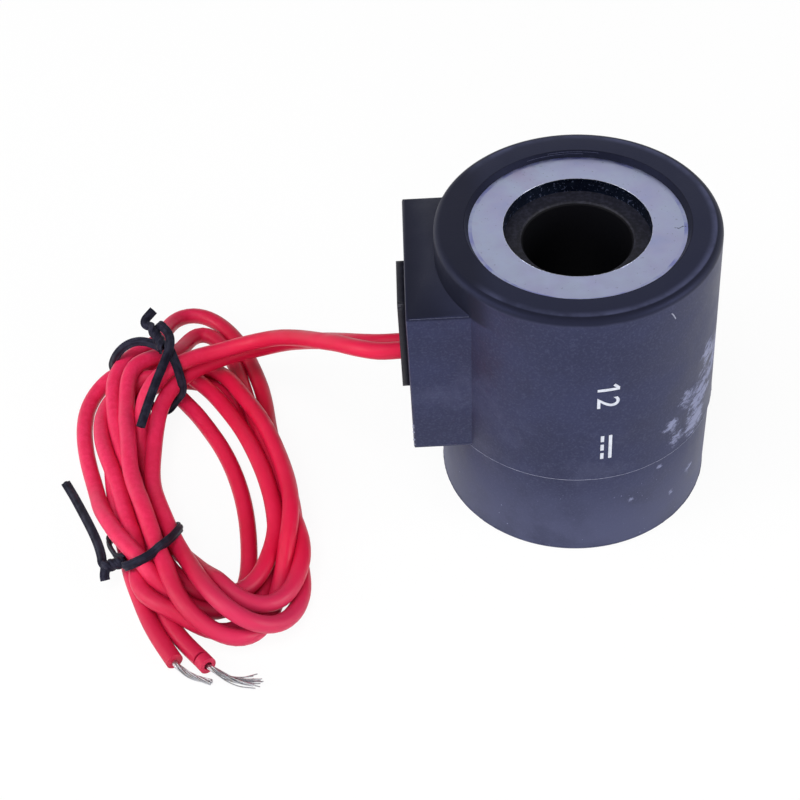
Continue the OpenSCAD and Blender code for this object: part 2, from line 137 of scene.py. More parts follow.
class Surface:
    """A finish being made: masks say where something shows, and coats of colour go on through them."""

    def __init__(self, name: str, colour: str, **constants: Any) -> None:
        """Starts the finish with its ground colour.

        Args:
            name: the material's name, after the real material.
            colour: the ground colour in hex.
            constants: shader sockets that are the same all over, with spaces as underscores.
        """
        self.material = bpy.data.materials.new(name)
        self.material.use_nodes = True
        self.tree = self.material.node_tree
        self.shader = self.tree.nodes["Principled BSDF"]
        for socket, value in constants.items():
            self.shader.inputs[socket.replace("_", " ")].default_value = value
        self.place = add_node(self.tree, "ShaderNodeTexCoord").outputs["Object"]
        self.colour: Any = linear(colour)

    def grain(self, size_mm: float, detail: float = 3.0, roughness: float = 0.55,
              place: NodeSocket | None = None) -> NodeSocket:
        """Gives an uneven pattern whose grains have a real size.

        Args:
            size_mm: the width of one grain in millimetres.
            detail: octaves of finer grain.
            roughness: the weight of the finer grain.
            place: coordinates in metres, or None for the piece's own place.

        Returns:
            The pattern, from 0 to 1.
        """
        inputs = {"Vector": place or self.place, "Scale": 1 / (size_mm * MM), "Detail": detail,
                  "Roughness": roughness}
        return add_node(self.tree, "ShaderNodeTexNoise", inputs).outputs["Fac"]

    def eased(self, factor: NodeSocket, span: Span, levels: Span = (0.0, 1.0)) -> NodeSocket:
        """Eases a factor from one level to another.

        Args:
            factor: what is measured.
            span: the two values between which the result changes.
            levels: the result at each of the two.

        Returns:
            The eased factor.
        """
        inputs = {"Value": factor, "From Min": span[0], "From Max": span[1], "To Min": levels[0],
                  "To Max": levels[1]}
        node = add_node(self.tree, "ShaderNodeMapRange", inputs, interpolation_type="SMOOTHSTEP")
        return node.outputs["Result"]

    def patches(self, size_mm: float, span: Span, levels: Span = (0.0, 1.0), detail: float = 3.0,
                roughness: float = 0.55) -> NodeSocket:
        """Marks uneven patches of a real size, where the grain is within a span."""
        return self.eased(self.grain(size_mm, detail, roughness), span, levels)

    def along(self, axis: str, span_mm: Span, levels: Span = (0.0, 1.0)) -> NodeSocket:
        """Marks what lies past a place along one axis of the part."""
        place = add_node(self.tree, "ShaderNodeSeparateXYZ", {0: self.place}).outputs[axis]
        return self.eased(place, (span_mm[0] * MM, span_mm[1] * MM), levels)

    def outwards(self, radii_mm: Span, levels: Span = (0.0, 1.0)) -> NodeSocket:
        """Marks what lies further from the body's axis than a radius.

        Args:
            radii_mm: the two radii in millimetres between which the mask changes.
            levels: the mask at each of the two.

        Returns:
            The mask.
        """
        level = add_node(self.tree, "ShaderNodeVectorMath", {0: self.place, 1: (1.0, 1.0, 0.0)},
                         operation="MULTIPLY").outputs[0]
        reach = add_node(self.tree, "ShaderNodeVectorMath", {0: level}, operation="LENGTH").outputs["Value"]
        return self.eased(reach, (radii_mm[0] * MM, radii_mm[1] * MM), levels)

    def inside(self, radius_mm: float) -> NodeSocket:
        """Marks what lies nearer to the body's axis than a radius."""
        return self.outwards((radius_mm - EDGE_BLUR, radius_mm), (1.0, 0.0))

    def near(self, spots: tuple[Spot, ...], core: float = 0.1) -> NodeSocket:
        """Marks the neighbourhood of some spots on the piece.

        Args:
            spots: places in millimetres, each with its reach in millimetres.
            core: the share of its reach within which a spot is fully marked.

        Returns:
            A mask that is 1 at a spot and 0 beyond its reach.
        """
        total = None
        for spot, reach in spots:
            centre = tuple(value * MM for value in spot)
            gap = add_node(self.tree, "ShaderNodeVectorMath", {0: self.place, 1: centre},
                           operation="DISTANCE").outputs["Value"]
            mask = self.eased(gap, (core * reach * MM, reach * MM), (1.0, 0.0))
            total = mask if total is None else self.either(total, mask)
        return total

    def both(self, first: NodeSocket, second: NodeSocket) -> NodeSocket:
        """Marks where two masks overlap."""
        return add_node(self.tree, "ShaderNodeMath", {0: first, 1: second}, operation="MULTIPLY").outputs[0]

    def either(self, first: NodeSocket, second: NodeSocket) -> NodeSocket:
        """Marks where at least one of two masks is."""
        return add_node(self.tree, "ShaderNodeMath", {0: first, 1: second}, operation="MAXIMUM").outputs[0]

    def mixed(self, mask: NodeSocket, under: Any, over: Any) -> NodeSocket:
        """Gives one colour with another over it, through a mask. A colour is hex or comes from the tree."""
        under, over = (linear(colour) if isinstance(colour, str) else colour for colour in (under, over))
        return add_node(self.tree, "ShaderNodeMix", {"Factor": mask, 6: under, 7: over},
                        data_type="RGBA").outputs[2]

    def coat(self, mask: NodeSocket, colour: Any) -> None:
        """Lays a colour over what is there, through a mask."""
        self.colour = self.mixed(mask, self.colour, colour)

    def roughen(self, height: NodeSocket, depth_mm: float, strength: float) -> None:
        """Lets a pattern rough up the surface by a real depth."""
        inputs = {"Height": height, "Distance": depth_mm * MM, "Strength": strength}
        self.drive("Normal", add_node(self.tree, "ShaderNodeBump", inputs).outputs["Normal"])

    def drive(self, socket: str, output: NodeSocket) -> None:
        """Links a pattern to one of the shader's sockets."""
        self.tree.links.new(output, self.shader.inputs[socket])

    def finished(self) -> Material:
        """Links the colour to the shader and gives the material."""
        self.drive("Base Color", self.colour)
        return self.material


@dataclass(frozen=True)
class MouldedNylon:
    """Black glass-filled nylon, injection moulded: blue-black, matt, finely grained, chalky where rubbed.

    The real grain is near 0.1 mm, too fine to show, so it is drawn about three times as coarse. Heights,
    places and radii in millimetres say between which values the rim, the boss's top and the rings begin.
    """

    colour: str = "#17192c"
    cloud: str = "#22253c"
    chalk: str = "#8a8fae"
    # Colour of settled dirt, also painting the floor's reflection on the lower wall.
    dust_and_reflection: str = "#43465d"
    sheen: str = "#aab4ff"
    # The next colours for the rim's top, its flank and the recess are painted shade, and the one for the
    # rim's edge is a painted highlight.
    rim_shade: str = "#1d1f2e"
    flank: str = "#14151f"
    rim_highlight: str = "#43465f"
    shade: str = "#0f1019"
    rim_z: Span = (47.6, 48.3)
    rim_highlight_radii: Span = (18.8, 19.75)
    flank_radii: Span = (19.8, 20.05)
    boss_z: Span = (43.2, 43.8)
    boss_x: Span = (-16.0, -12.0)
    recess_radius: float = 16.5
    mottle_mm: float = 8.0
    speck_mm: float = 0.42
    grain_mm: float = 0.32
    scuff_mm: float = 1.4
    scuff_turn: float = 0.98
    scuff_lead: float = 0.18
    scuffs: tuple[Spot, ...] = ()

    def make(self) -> Material:
        """Builds the material, from the moulded skin to the wear and painted light on it.

        Returns:
            The material.
        """
        skin = Surface("nylon_glass_filled_moulded", self.colour, Roughness=0.5, IOR=1.6,
                       Specular_Tint=linear(self.sheen))
        skin.coat(skin.patches(self.mottle_mm, (0.35, 0.7), (0.0, 0.8), 4.0), self.cloud)
        skin.coat(skin.patches(0.35, (0.45, 0.75), (0.0, 0.32), 2.0), self.dust_and_reflection)
        self.lay_dust_and_reflection(skin)
        if self.scuffs:
            self.scuff(skin)
        self.paint_rim_light(skin)
        skin.drive("Roughness", skin.patches(self.mottle_mm, (0.3, 0.7), (0.46, 0.58), 4.0))
        skin.roughen(skin.grain(self.grain_mm, 2.0), 0.02, 0.6)
        return skin.finished()

    def lay_dust_and_reflection(self, skin: Surface) -> None:
        """Lays dirt with painted reflection of the floor in it, heaviest near the floor, and pale specks on
        the lower shell.

        Args:
            skin: the surface to lay it on.
        """
        # Lighter towards the floor: settled dirt and painted reflection of the floor.
        low = skin.both(skin.along("Z", (2.0, 20.0), (0.75, 0.05)),
                        skin.patches(self.mottle_mm, (0.3, 0.6), (0.4, 1.0), 4.0))
        high = skin.both(skin.patches(11.0, (0.45, 0.72), (0.0, 0.4), 7.0, 0.68),
                         skin.along("Z", (30.0, 42.0), (1.0, 0.0)))
        skin.coat(skin.either(low, high), self.dust_and_reflection)
        specks = skin.patches(self.speck_mm, (0.76, 0.8), (0.0, 0.7), 1.0)
        skin.coat(skin.both(specks, skin.along("Z", (13.0, 15.0), (1.0, 0.12))), self.chalk)

    def scuff(self, skin: Surface) -> None:
        """Rubs the scuffed spots chalky, in streaks that run round the wall.

        Args:
            skin: the surface to rub.
        """
        streaked = add_node(skin.tree, "ShaderNodeMapping", {
            "Vector": skin.place, "Rotation": (0.0, 0.0, self.scuff_turn), "Scale": (2.6, 1.0, 1.0)},
            vector_type="TEXTURE").outputs["Vector"]
        spots = skin.near(self.scuffs)
        rubbed = add_node(skin.tree, "ShaderNodeMath", {
            0: spots, 1: self.scuff_lead, 2: skin.grain(self.scuff_mm, 12.0, 0.8, streaked)},
            operation="MULTIPLY_ADD").outputs[0]
        streaks = skin.eased(rubbed, (0.41 + self.scuff_lead, 0.53 + self.scuff_lead), (0.0, 0.7))
        skin.coat(skin.both(streaks, skin.eased(spots, (0.05, 0.5))), self.chalk)

    def paint_rim_light(self, skin: Surface) -> None:
        """Paints shade on the rim's top and the boss's top, a highlight along the rim's edge, and shade on
        its flank and in the recess.

        Args:
            skin: the surface to wear.
        """
        rim = skin.along("Z", self.rim_z)
        boss = skin.both(skin.along("Z", self.boss_z), skin.along("X", self.boss_x, (1.0, 0.0)))
        # Painted shade: the rim's top is darker.
        skin.coat(rim, self.rim_shade)
        # Painted highlight along the rim's outer edge.
        edge = skin.both(skin.outwards(self.rim_highlight_radii), skin.patches(4.0, (0.3, 0.65), (0.15, 0.85)))
        skin.coat(skin.both(edge, rim), self.rim_highlight)
        # Painted shade on the rim's flank, on the boss's top and on the wall above the boss.
        skin.coat(skin.either(skin.both(skin.outwards(self.flank_radii), rim), boss), self.flank)
        recess = skin.inside(self.recess_radius)
        skin.coat(recess, self.shade)
        glosses = {0: skin.eased(skin.either(rim, boss), (0.0, 1.0), (0.52, 0.3)),
                   1: skin.eased(recess, (0.0, 1.0), (0.52, 0.16))}
        skin.drive("Specular IOR Level",
                   add_node(skin.tree, "ShaderNodeMath", glosses, operation="MINIMUM").outputs[0])


@dataclass(frozen=True)
class ZincPlate:
    """Zinc-plated mild steel: a soft grey sheen, faintly tinted by its passivation, turned and rubbed."""

    tints: tuple[str, ...] = ("#c2cbf8", "#d0d3fb", "#d4deff", "#cdc9f0")
    pit: str = "#9298b8"
    # Painted shade and painted glints for the hole's wall.
    wall: str = "#36435f"
    hole_glint: str = "#b9c8f4"
    rim: str = "#9097e6"
    hole_radius: float = 10.86
    rim_radius: float = 15.3
    first_tint: float = 0.3
    tint_step: float = 0.13

    def make(self) -> Material:
        """Builds the material.

        Returns:
            The material.
        """
        plate = Surface("zinc_plated_steel", self.tints[0], Metallic=1.0, Roughness=0.36)
        tinted = add_node(plate.tree, "ShaderNodeValToRGB", {"Fac": plate.grain(12.0, 4.0)})
        stops = tinted.color_ramp.elements
        while len(stops) < len(self.tints):
            stops.new(0.5)
        for number, (stop, tint) in enumerate(zip(stops, self.tints)):
            stop.position = self.first_tint + self.tint_step * number
            stop.color = linear(tint)
        plate.colour = tinted.outputs["Color"]
        plate.coat(plate.patches(0.6, (0.66, 0.74), (0.0, 0.45), 2.0), self.pit)
        edge = plate.outwards((self.rim_radius - EDGE_BLUR, self.rim_radius))
        plate.coat(plate.both(edge, plate.patches(2.5, (0.4, 0.65), (0.1, 0.7), 4.0)), self.rim)
        # The hole's wall: painted shade with painted glints.
        torn = plate.mixed(plate.patches(0.4, (0.6, 0.66), (0.0, 0.8), 2.0), self.wall, self.hole_glint)
        plate.coat(plate.inside(self.hole_radius), torn)
        plate.drive("Roughness", plate.patches(1.4, (0.3, 0.7), (0.28, 0.46), 5.0))
        plate.roughen(plate.grain(0.3), 0.006, 0.6)
        return plate.finished()


@dataclass(frozen=True)
class RedPvc:
    """Soft red PVC, extruded over the conductor: satin, with a powdery film and painted light on the hank's
    far side.

    The strands at the front are darkened by painted shade, deepest at the stripped ends and duller beside
    them.
    The places between which these begin are in millimetres.
    """

    colour: str = "#c60f35"
    bright: str = "#d01741"
    # A powdery film's colour, laid heavier on the left run as painted light.
    bloom_and_light: str = "#ea386a"
    # The next two colours are painted shade on the front strands.
    end_shade: str = "#b2193c"
    front_shade: str = "#bf2d55"
    bloom_and_light_x: Span = (-76.0, -52.0)
    ends_x: Span = (-63.0, -52.0)
    ends_y: Span = (-34.0, -22.0)

    def make(self) -> Material:
        """Builds the material.

        Returns:
            The material.
        """
        pvc = Surface("pvc_red_extruded", self.colour, Roughness=0.45, Specular_IOR_Level=0.28,
                      Subsurface_Weight=0.06, Subsurface_Radius=(0.0008, 0.0002, 0.0002))
        pvc.coat(pvc.patches(9.0, (0.3, 0.7)), self.bright)
        # Powdery film, heavier towards the left run, where it is painted light.
        bloom_and_light_mask = pvc.both(pvc.patches(1.1, (0.35, 0.7), (0.5, 1.0), 6.0, 0.75),
                         pvc.along("X", self.bloom_and_light_x, (0.75, 0.06)))
        pvc.coat(bloom_and_light_mask, self.bloom_and_light)
        # Painted shade on the front strands.
        front = pvc.mixed(pvc.along("X", self.ends_x), self.end_shade, self.front_shade)
        pvc.coat(pvc.along("Y", self.ends_y, (0.75, 0.0)), front)
        pvc.drive("Roughness", pvc.patches(2.2, (0.3, 0.7), (0.34, 0.5), 4.0))
        pvc.roughen(pvc.grain(1.2), 0.02, 0.5)
        return pvc.finished()


@dataclass(frozen=True)
class TieVinyl:
    """Black vinyl round a steel wire, extruded flat: a satin skin with fine creases."""

    colour: str = "#14131c"
    crease: str = "#33323f"
    sheen: str = "#c4c4ff"

    def make(self) -> Material:
        """Builds the material.

        Returns:
            The material.
        """
        vinyl = Surface("vinyl_black_extruded", self.colour, Roughness=0.5, Specular_IOR_Level=0.2,
                        Specular_Tint=linear(self.sheen))
        vinyl.coat(vinyl.patches(1.6, (0.35, 0.7), (0.0, 0.6), 4.0), self.crease)
        vinyl.roughen(vinyl.grain(0.6), 0.03, 0.7)
        return vinyl.finished()


@dataclass(frozen=True)
class TinnedCopper:
    """Drawn copper wire with a thin tin coat: bright silver with a warm trace where the tin is thin."""

    colour: str = "#d2d2d8"
    thin: str = "#bba98f"

    def make(self) -> Material:
        """Builds the material.

        Returns:
            The material.
        """
        wire = Surface("copper_tinned", self.colour, Metallic=1.0, Roughness=0.3)
        wire.coat(wire.patches(0.8, (0.5, 0.75), (0.0, 0.5)), self.thin)
        return wire.finished()


@dataclass(frozen=True)
class BobbinNylon:
    """Black nylon of the bobbin: grainy and matt on its end faces, smooth and with painted shade down the
    bore.
    """

    colour: str = "#15151d"
    grain: str = "#262631"
    bore_shade: str = "#0a0a0e"
    bore_radius: float = 8.2

    def make(self) -> Material:
        """Builds the material.

        Returns:
            The material.
        """
        skin = Surface("nylon_black_bobbin", self.colour, Roughness=0.6)
        skin.coat(skin.patches(0.5, (0.4, 0.65), (0.0, 1.0), 4.0), self.grain)
        bore = skin.inside(self.bore_radius)
        # Painted shade down the bore.
        skin.coat(bore, self.bore_shade)
        skin.drive("Specular IOR Level", skin.eased(bore, (0.0, 1.0), (0.35, 0.12)))
        skin.roughen(skin.grain(0.4), 0.03, 0.6)
        return skin.finished()


@dataclass(frozen=True)
class PlainFinish:
    """A finish of one colour with grain, at the real material's gloss, for small and hidden pieces."""

    name: str
    colour: str
    grain: str
    metallic: float = 0.0
    roughness: float = 0.5
    grain_mm: float = 0.6

    def make(self) -> Material:
        """Builds the material.

        Returns:
            The material.
        """
        skin = Surface(self.name, self.colour, Metallic=self.metallic, Roughness=self.roughness)
        skin.coat(skin.patches(self.grain_mm, (0.35, 0.7), (0.0, 0.8), 4.0), self.grain)
        skin.roughen(skin.grain(self.grain_mm / 2), 0.02, 0.6)
        return skin.finished()


def add_piece(name: str, mesh: Mesh, slot: str, *nodes: str) -> Object:
    """Puts a finished mesh into the scene as a piece of the coil.

    Args:
        name: the piece's name.
        mesh: the mesh, with its place in its vertices.
        slot: the record's material slot; not used.
        nodes: the CAD nodes that the piece stands for.

    Returns:
        The piece.
    """
    piece = bpy.data.objects.new(name, mesh)
    bpy.context.scene.collection.objects.link(piece)
    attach(piece, BODY)
    if nodes:
        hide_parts(*nodes)
    LOG.info("%s: %d faces", name, len(mesh.polygons))
    return piece


def even_wall(mesh: Mesh, radii: Span, steepest: float = 0.1) -> None:
    """Makes the round outer wall shade evenly, whatever slivers its triangles have.

    Args:
        mesh: the mesh, centred on the body's axis.
        radii: the wall's smallest and largest radius in millimetres.
        steepest: how far up or down a face of the wall may look.
    """
    places = np.array([vertex.co[:] for vertex in mesh.vertices]) / MM
    reach = np.hypot(places[:, 0], places[:, 1])
    normals = np.zeros((len(mesh.loops), 3))
    for face in mesh.polygons:
        corners = list(face.vertices)
        on_wall = np.all((reach[corners] > radii[0]) & (reach[corners] < radii[1]))
        if on_wall and abs(face.normal.z) < steepest:
            outward = places[corners] * (1.0, 1.0, 0.0)
            normals[list(face.loop_indices)] = unit(outward)
    mesh.normals_split_custom_set(normals.tolist())


def smooth_copy(node: str, name: str, material: Material, slot: str,
                sharp_degrees: float = 30.0) -> Object:
    """Copies a CAD node with its triangles joined, so that round faces shade smoothly.

    Args:
        node: the CAD node.
        name: the new piece's name.
        material: its finish.
        slot: the record's material slot.
        sharp_degrees: the angle past which an edge stays sharp.

    Returns:
        The piece that stands for the node.
    """
    mesh = frame["nodes"][node].data.copy()
    mesh.name = name
    joined = bmesh.new()
    joined.from_mesh(mesh)
    bmesh.ops.remove_doubles(joined, verts=joined.verts, dist=JOIN_GAP * MM)
    joined.to_mesh(mesh)
    joined.free()
    mesh.shade_smooth()
    mesh.set_sharp_from_angle(angle=math.radians(sharp_degrees))
    even_wall(mesh, WALL_RADII)
    mesh.materials.clear()
    mesh.materials.append(material)
    return add_piece(name, mesh, slot, node)


def unit(vectors: np.ndarray) -> np.ndarray:
    """Scales each vector to a length of 1."""
    return vectors / np.maximum(np.linalg.norm(vectors, axis=-1, keepdims=True), 1e-12)


def spaced(points: np.ndarray, step: float) -> np.ndarray:
    """Places points evenly along a line.

    Args:
        points: the line's points.
        step: the wanted spacing, in the points' own unit.

    Returns:
        Evenly spaced points with the same ends.
    """
    along = np.concatenate([[0.0], np.cumsum(np.linalg.norm(np.diff(points, axis=0), axis=1))])
    count = max(2, int(round(along[-1] / step)) + 1)
    wanted = np.linspace(0.0, along[-1], count)
    return np.stack([np.interp(wanted, along, points[:, axis]) for axis in range(3)], axis=1)


def flowing(points: list[Point] | np.ndarray, step: float, samples: int = 12) -> np.ndarray:
    """Draws a smooth line through points and spaces it evenly.

    Args:
        points: the points to pass through.
        step: the wanted spacing, in the points' own unit.
        samples: how often the curve is worked out from each point to the next.

    Returns:
        The line's points.
    """
    through = np.asarray(points, float)
    through = through[np.r_[True, np.linalg.norm(np.diff(through, axis=0), axis=1) > 1e-6]]
    through = np.vstack([2 * through[0] - through[1], through, 2 * through[-1] - through[-2]])
    pieces = []
    for index in range(1, len(through) - 2):
        p0, p1, p2, p3 = through[index - 1:index + 3]
        knots = np.concatenate([[0.0], np.cumsum(np.sqrt(np.linalg.norm(np.diff(
            through[index - 1:index + 3], axis=0), axis=1)))])
        k0, k1, k2, k3 = knots
        t = np.linspace(k1, k2, samples, endpoint=False)[:, None]
        a1 = (k1 - t) / (k1 - k0) * p0 + (t - k0) / (k1 - k0) * p1
        a2 = (k2 - t) / (k2 - k1) * p1 + (t - k1) / (k2 - k1) * p2
        a3 = (k3 - t) / (k3 - k2) * p2 + (t - k2) / (k3 - k2) * p3
        b1 = (k2 - t) / (k2 - k0) * a1 + (t - k0) / (k2 - k0) * a2
        b2 = (k3 - t) / (k3 - k1) * a2 + (t - k1) / (k3 - k1) * a3
        pieces.append((k2 - t) / (k2 - k1) * b1 + (t - k1) / (k2 - k1) * b2)
    pieces.append(through[-2:-1])
    return spaced(np.vstack(pieces), step)


def swept(name: str, line: np.ndarray, profile: np.ndarray, across: np.ndarray,
          material: Material, sharp_degrees: float = 50.0) -> Mesh:
    """Sweeps a profile along a line into a closed mesh with a map along and around it.

    Args:
        name: the mesh's name.
        line: the line's points in metres.
        profile: the profile's points in metres, across and up, counter-clockwise.
        across: the direction that the profile's first axis keeps to, or starts with.
        material: the finish.
        sharp_degrees: the angle past which an edge stays sharp.

    Returns:
        The mesh. Its map runs round the profile from 0 to 1, and along the line in metres.
    """
    tangents = unit(np.gradient(line, axis=0))
    fixed = across.ndim == 2
    sides = np.empty_like(line)
    side = across[0] if fixed else across
    for index, tangent in enumerate(tangents):
        side = across[index] if fixed else side
        side = unit(side - tangent * (side @ tangent))
        sides[index] = side
    ups = np.cross(tangents, sides)
    rings = line[:, None] + profile[None, :, :1] * sides[:, None] + profile[None, :, 1:] * ups[:, None]
    count, around = len(line), len(profile)
    along = np.concatenate([[0.0], np.cumsum(np.linalg.norm(np.diff(line, axis=0), axis=1))])
    faces = []
    maps = []
    for ring in range(count - 1):
        for corner in range(around):
            following = (corner + 1) % around
            faces.append((ring * around + corner, ring * around + following,
                          (ring + 1) * around + following, (ring + 1) * around + corner))
            left, right = corner / around, (corner + 1) / around
            maps += [(left, along[ring]), (right, along[ring]), (right, along[ring + 1]),
                     (left, along[ring + 1])]
    faces.append(tuple(reversed(range(around))))
    faces.append(tuple(range((count - 1) * around, count * around)))
    maps += [(0.5, along[0])] * around + [(0.5, along[-1])] * around
    mesh = bpy.data.meshes.new(name)
    mesh.from_pydata(rings.reshape(-1, 3).tolist(), [], faces)
    layer = mesh.uv_layers.new(name="UVMap")
    layer.data.foreach_set("uv", np.asarray(maps, np.float32).ravel())
    mesh.shade_smooth()
    mesh.set_sharp_from_angle(angle=math.radians(sharp_degrees))
    mesh.materials.append(material)
    mesh.validate()
    return mesh


def ring_profile(radius: float, corners: int) -> np.ndarray:
    """Gives a round profile of that radius."""
    angles = np.linspace(0.0, 2 * math.pi, corners, endpoint=False)
    return radius * np.stack([np.cos(angles), np.sin(angles)], axis=1)


class Lead(Enum):
    """The two leads, by the CAD node of each."""

    A = "lead_a"
    B = "lead_b"


@dataclass(frozen=True)
class Rung:
    """A place across one run of the hank: its inner strand, and the way that the lanes go out from it."""

    x: float
    y: float
    out_x: float
    out_y: float

    def place(self, out: float, layer: float, diameter: float) -> Point:
        """Gives the point that far out, on that layer of strands."""
        return self.x + out * self.out_x, self.y + out * self.out_y, diameter * (0.5 + LAYER_RISE * layer)


@dataclass(frozen=True)
class Turn:
    """One turn of a lead: down the left run, round the low end, up the right run and over the top.

    Lanes are millimetres out from the inner strand, one for each rung. Layers count strands up from the
    floor. The points of the low and top bends are in millimetres.
    """

    left: tuple[float, ...]
    left_layers: tuple[float, ...]
    low: tuple[Point, ...] = ()
    right: tuple[float, ...] = ()
    right_layers: tuple[float, ...] = ()
    top: tuple[Point, ...] = ()


@dataclass(frozen=True)
class LeadPlan:
    """One lead from its splice to its stripped end: the free part, its turns in the hank, and its tail."""

    free: tuple[Point, ...]
    turns: tuple[Turn, ...]
    tail: tuple[Point, ...]


LEAD_PLANS = {
    Lead.A: LeadPlan(
        free=((-22.2, -1.598, 26.4), (-24.5, -1.598, 26.4), (-26.7, -1.598, 26.4), (-30, -1.6, 26.4),
              (-33.5, 0.2, 25.6), (-36.5, 3.2, 23.8), (-40, 7, 21), (-43.5, 11, 17.9), (-47, 14.4, 14.9),
              (-50.5, 16.5, 12.4), (-54, 17.4, 10.7), (-57.5, 17.2, 9.8), (-61, 16.3, 9.7), (-64, 15, 9.6),
              (-66.6, 13.8, 9.2), (-68.8, 12, 8.2), (-70.3, 9.6, 7.0)),
        turns=(
            Turn(left=(1.8, 0.6, 1.5, 0.9), left_layers=(0.9, 0.2, 0, 0),
                 low=((-61.6, -19.8, 1.9), (-58.5, -25.2, 3.4), (-55.2, -29.5, 5.0), (-52.4, -32.4, 6.0),
                      (-49.8, -32.9, 5.2), (-47.6, -32.1, 4.4), (-45.9, -30.4, 4.1), (-44.6, -28.3, 3.9)),
                 right=(7.7, 6.4, 6.2, 9.6), right_layers=(0.95, 1, 0.9, 0.3),
                 top=((-55.2, 19.6, 1.5), (-57.5, 25.4, 1.5), (-60.2, 29.6, 1.5), (-62.5, 31.1, 1.6),
                      (-64.3, 29.2, 2.2), (-65.2, 24.5, 3.4), (-66.5, 20.8, 5.0), (-68.3, 19.7, 6.2),
                      (-70.2, 19.7, 6.6), (-71.9, 19.0, 6.4), (-73.0, 16.3, 6.1))),
            Turn(left=(5.8, 3.8, 3.1, 2.1, 2.8), left_layers=(1.6, 1.75, 1.95, 1.95, 1.95),
                 low=((-64.4, -25.9, 6.6), (-63.1, -28.7, 6.6), (-61.8, -31.4, 6.3), (-60.1, -33.6, 5.6),
                      (-57.3, -35.4, 4.3), (-53.7, -37.5, 3.6), (-50.5, -36.4, 2.6), (-49.0, -32.4, 1.9),
                      (-47.8, -28.6, 2.0), (-46.6, -25.3, 3.2)),
                 right=(7.3, 7.3, 7.3, 7.9), right_layers=(1.8, 1.95, 1.9, 1.5),
                 top=((-57.0, 17.2, 3.9), (-63.0, 20.9, 2.1), (-70.0, 22.0, 1.4), (-76.0, 20.6, 1.4),
                      (-79.6, 17.0, 1.4))),
            Turn(left=(13.6, 11.4, 8.9, 7.3, 6.7), left_layers=(0, 0, 0.1, 0.95, 1.45),
                 low=((-69.0, -22.6, 5.6), (-67.3, -25.7, 5.8), (-65.5, -27.6, 5.0), (-63.6, -28.6, 3.6),
                      (-60.7, -29.3, 1.9), (-57.4, -30.0, 1.4), (-54.6, -30.2, 1.4), (-53.0, -28.6, 1.4),
                      (-52.4, -25.7, 1.4)),
                 right=(0, 0, 0, 0), right_layers=(0, 0, 0, 0),
                 top=((-66.2, 15.2, 1.6), (-69.2, 17.2, 3.0), (-72.2, 17.0, 3.6), (-74.2, 14.6, 2.4))),
            Turn(left=(7.2, 7.2, 6.2, 6.6, 7.0), left_layers=(0, 0, 0, 0, 0)),
        ),
        tail=((-69.5, -22.8, 1.4), (-68.9, -24.8, 1.4), (-67.7, -28.6, 1.4), (-65.8, -33.2, 1.4),
              (-64, -37, 1.4), (-62.4, -39.7, 1.4)),
    ),
    Lead.B: LeadPlan(
        free=((-22.2, 1.598, 25.1), (-24.5, 1.598, 25.1), (-26.7, 1.598, 25.1), (-30, 1.9, 24.8),
              (-33.5, 3.6, 23.5), (-36.5, 6.8, 20.8), (-40, 10.8, 17.2), (-43.5, 14.7, 13.5),
              (-47, 17.7, 10.3), (-50.8, 19.1, 8.1), (-54.4, 19.2, 7.1), (-58, 18.2, 6.8),
              (-61.2, 16.5, 6.8), (-64.2, 14.2, 6.8), (-66.4, 11.2, 6.6), (-67.8, 8.1, 5.6)),
        turns=(
            Turn(left=(0.1, 0, 0.2, 0.3), left_layers=(1, 1, 0.9, 0.9),
                 low=((-62.4, -20.8, 4.6), (-59.0, -27.3, 6.6), (-56.0, -32.7, 8.0), (-53.3, -35.5, 7.6),
                      (-49.7, -36.4, 5.4), (-47.4, -35.6, 3.8), (-45.4, -33.4, 2.6), (-44.0, -30.2, 1.9),
                      (-43.5, -26.1, 1.5)),
                 right=(7.7, 7.4, 8.2, 12.9), right_layers=(0, 0, 0, 0),
                 top=((-52.2, 18.7, 1.5), (-55.5, 26.8, 1.5), (-60.0, 33.1, 1.5), (-63.9, 35.7, 1.5),
                      (-67.0, 34.5, 1.9), (-68.4, 31.1, 2.8), (-68.7, 26.7, 4.4), (-69.2, 23.8, 5.6),
                      (-70.6, 22.9, 6.0), (-73.2, 22.4, 5.6), (-75.3, 20.5, 5.0), (-75.9, 16.7, 4.5))),
            Turn(left=(8.5, 5.1, 2.8, 2.4, 3.0), left_layers=(1.2, 1.1, 1, 1, 1),
                 low=((-64.8, -22.4, 3.6), (-62.0, -25.6, 3.0), (-58.6, -28.5, 3.0), (-55.6, -29.9, 3.6),
                      (-53.4, -29.9, 4.1), (-51.8, -28.6, 4.1), (-50.2, -26.4, 3.8)),
                 right=(4.6, 4.6, 3.9, 4.4), right_layers=(1.3, 1.6, 1.4, 0.9),
                 top=((-60.4, 15.4, 3.4), (-65.4, 18.4, 2.6), (-70.6, 18.6, 2.1), (-75.0, 15.8, 1.6))),
            Turn(left=(10.1, 8.0, 5.5, 4.8, 5.2), left_layers=(0.5, 0.9, 1, 1, 0.4),
                 low=((-69.3, -23.3, 3.3), (-68.8, -25.9, 4.2), (-66.9, -28.6, 4.2), (-64.4, -31.6, 4.2),
                      (-61.3, -33.2, 2.6), (-58.5, -33.8, 1.5), (-55.2, -35.0, 1.4), (-52.5, -34.5, 1.4),
                      (-50.6, -31.2, 1.4), (-49.5, -26.7, 1.4)),
                 right=(4.2, 4.5, 5.0, 6.5), right_layers=(0, 0, 0, 0),
                 top=((-58.6, 16.8, 1.5), (-63.4, 18.9, 1.4), (-68.4, 19.6, 1.4), (-71.4, 17.2, 1.4))),
            Turn(left=(4.2, 4.5, 3.4, 4.0, 3.7), left_layers=(0, 0, 0, 0, 0)),
        ),
        tail=((-66.9, -22.2, 1.4), (-66.6, -26.4, 1.4), (-64.6, -30.6, 1.4), (-62, -34.9, 1.4),
              (-60, -37.7, 1.6), (-58.4, -39.8, 1.9)),
    ),
}


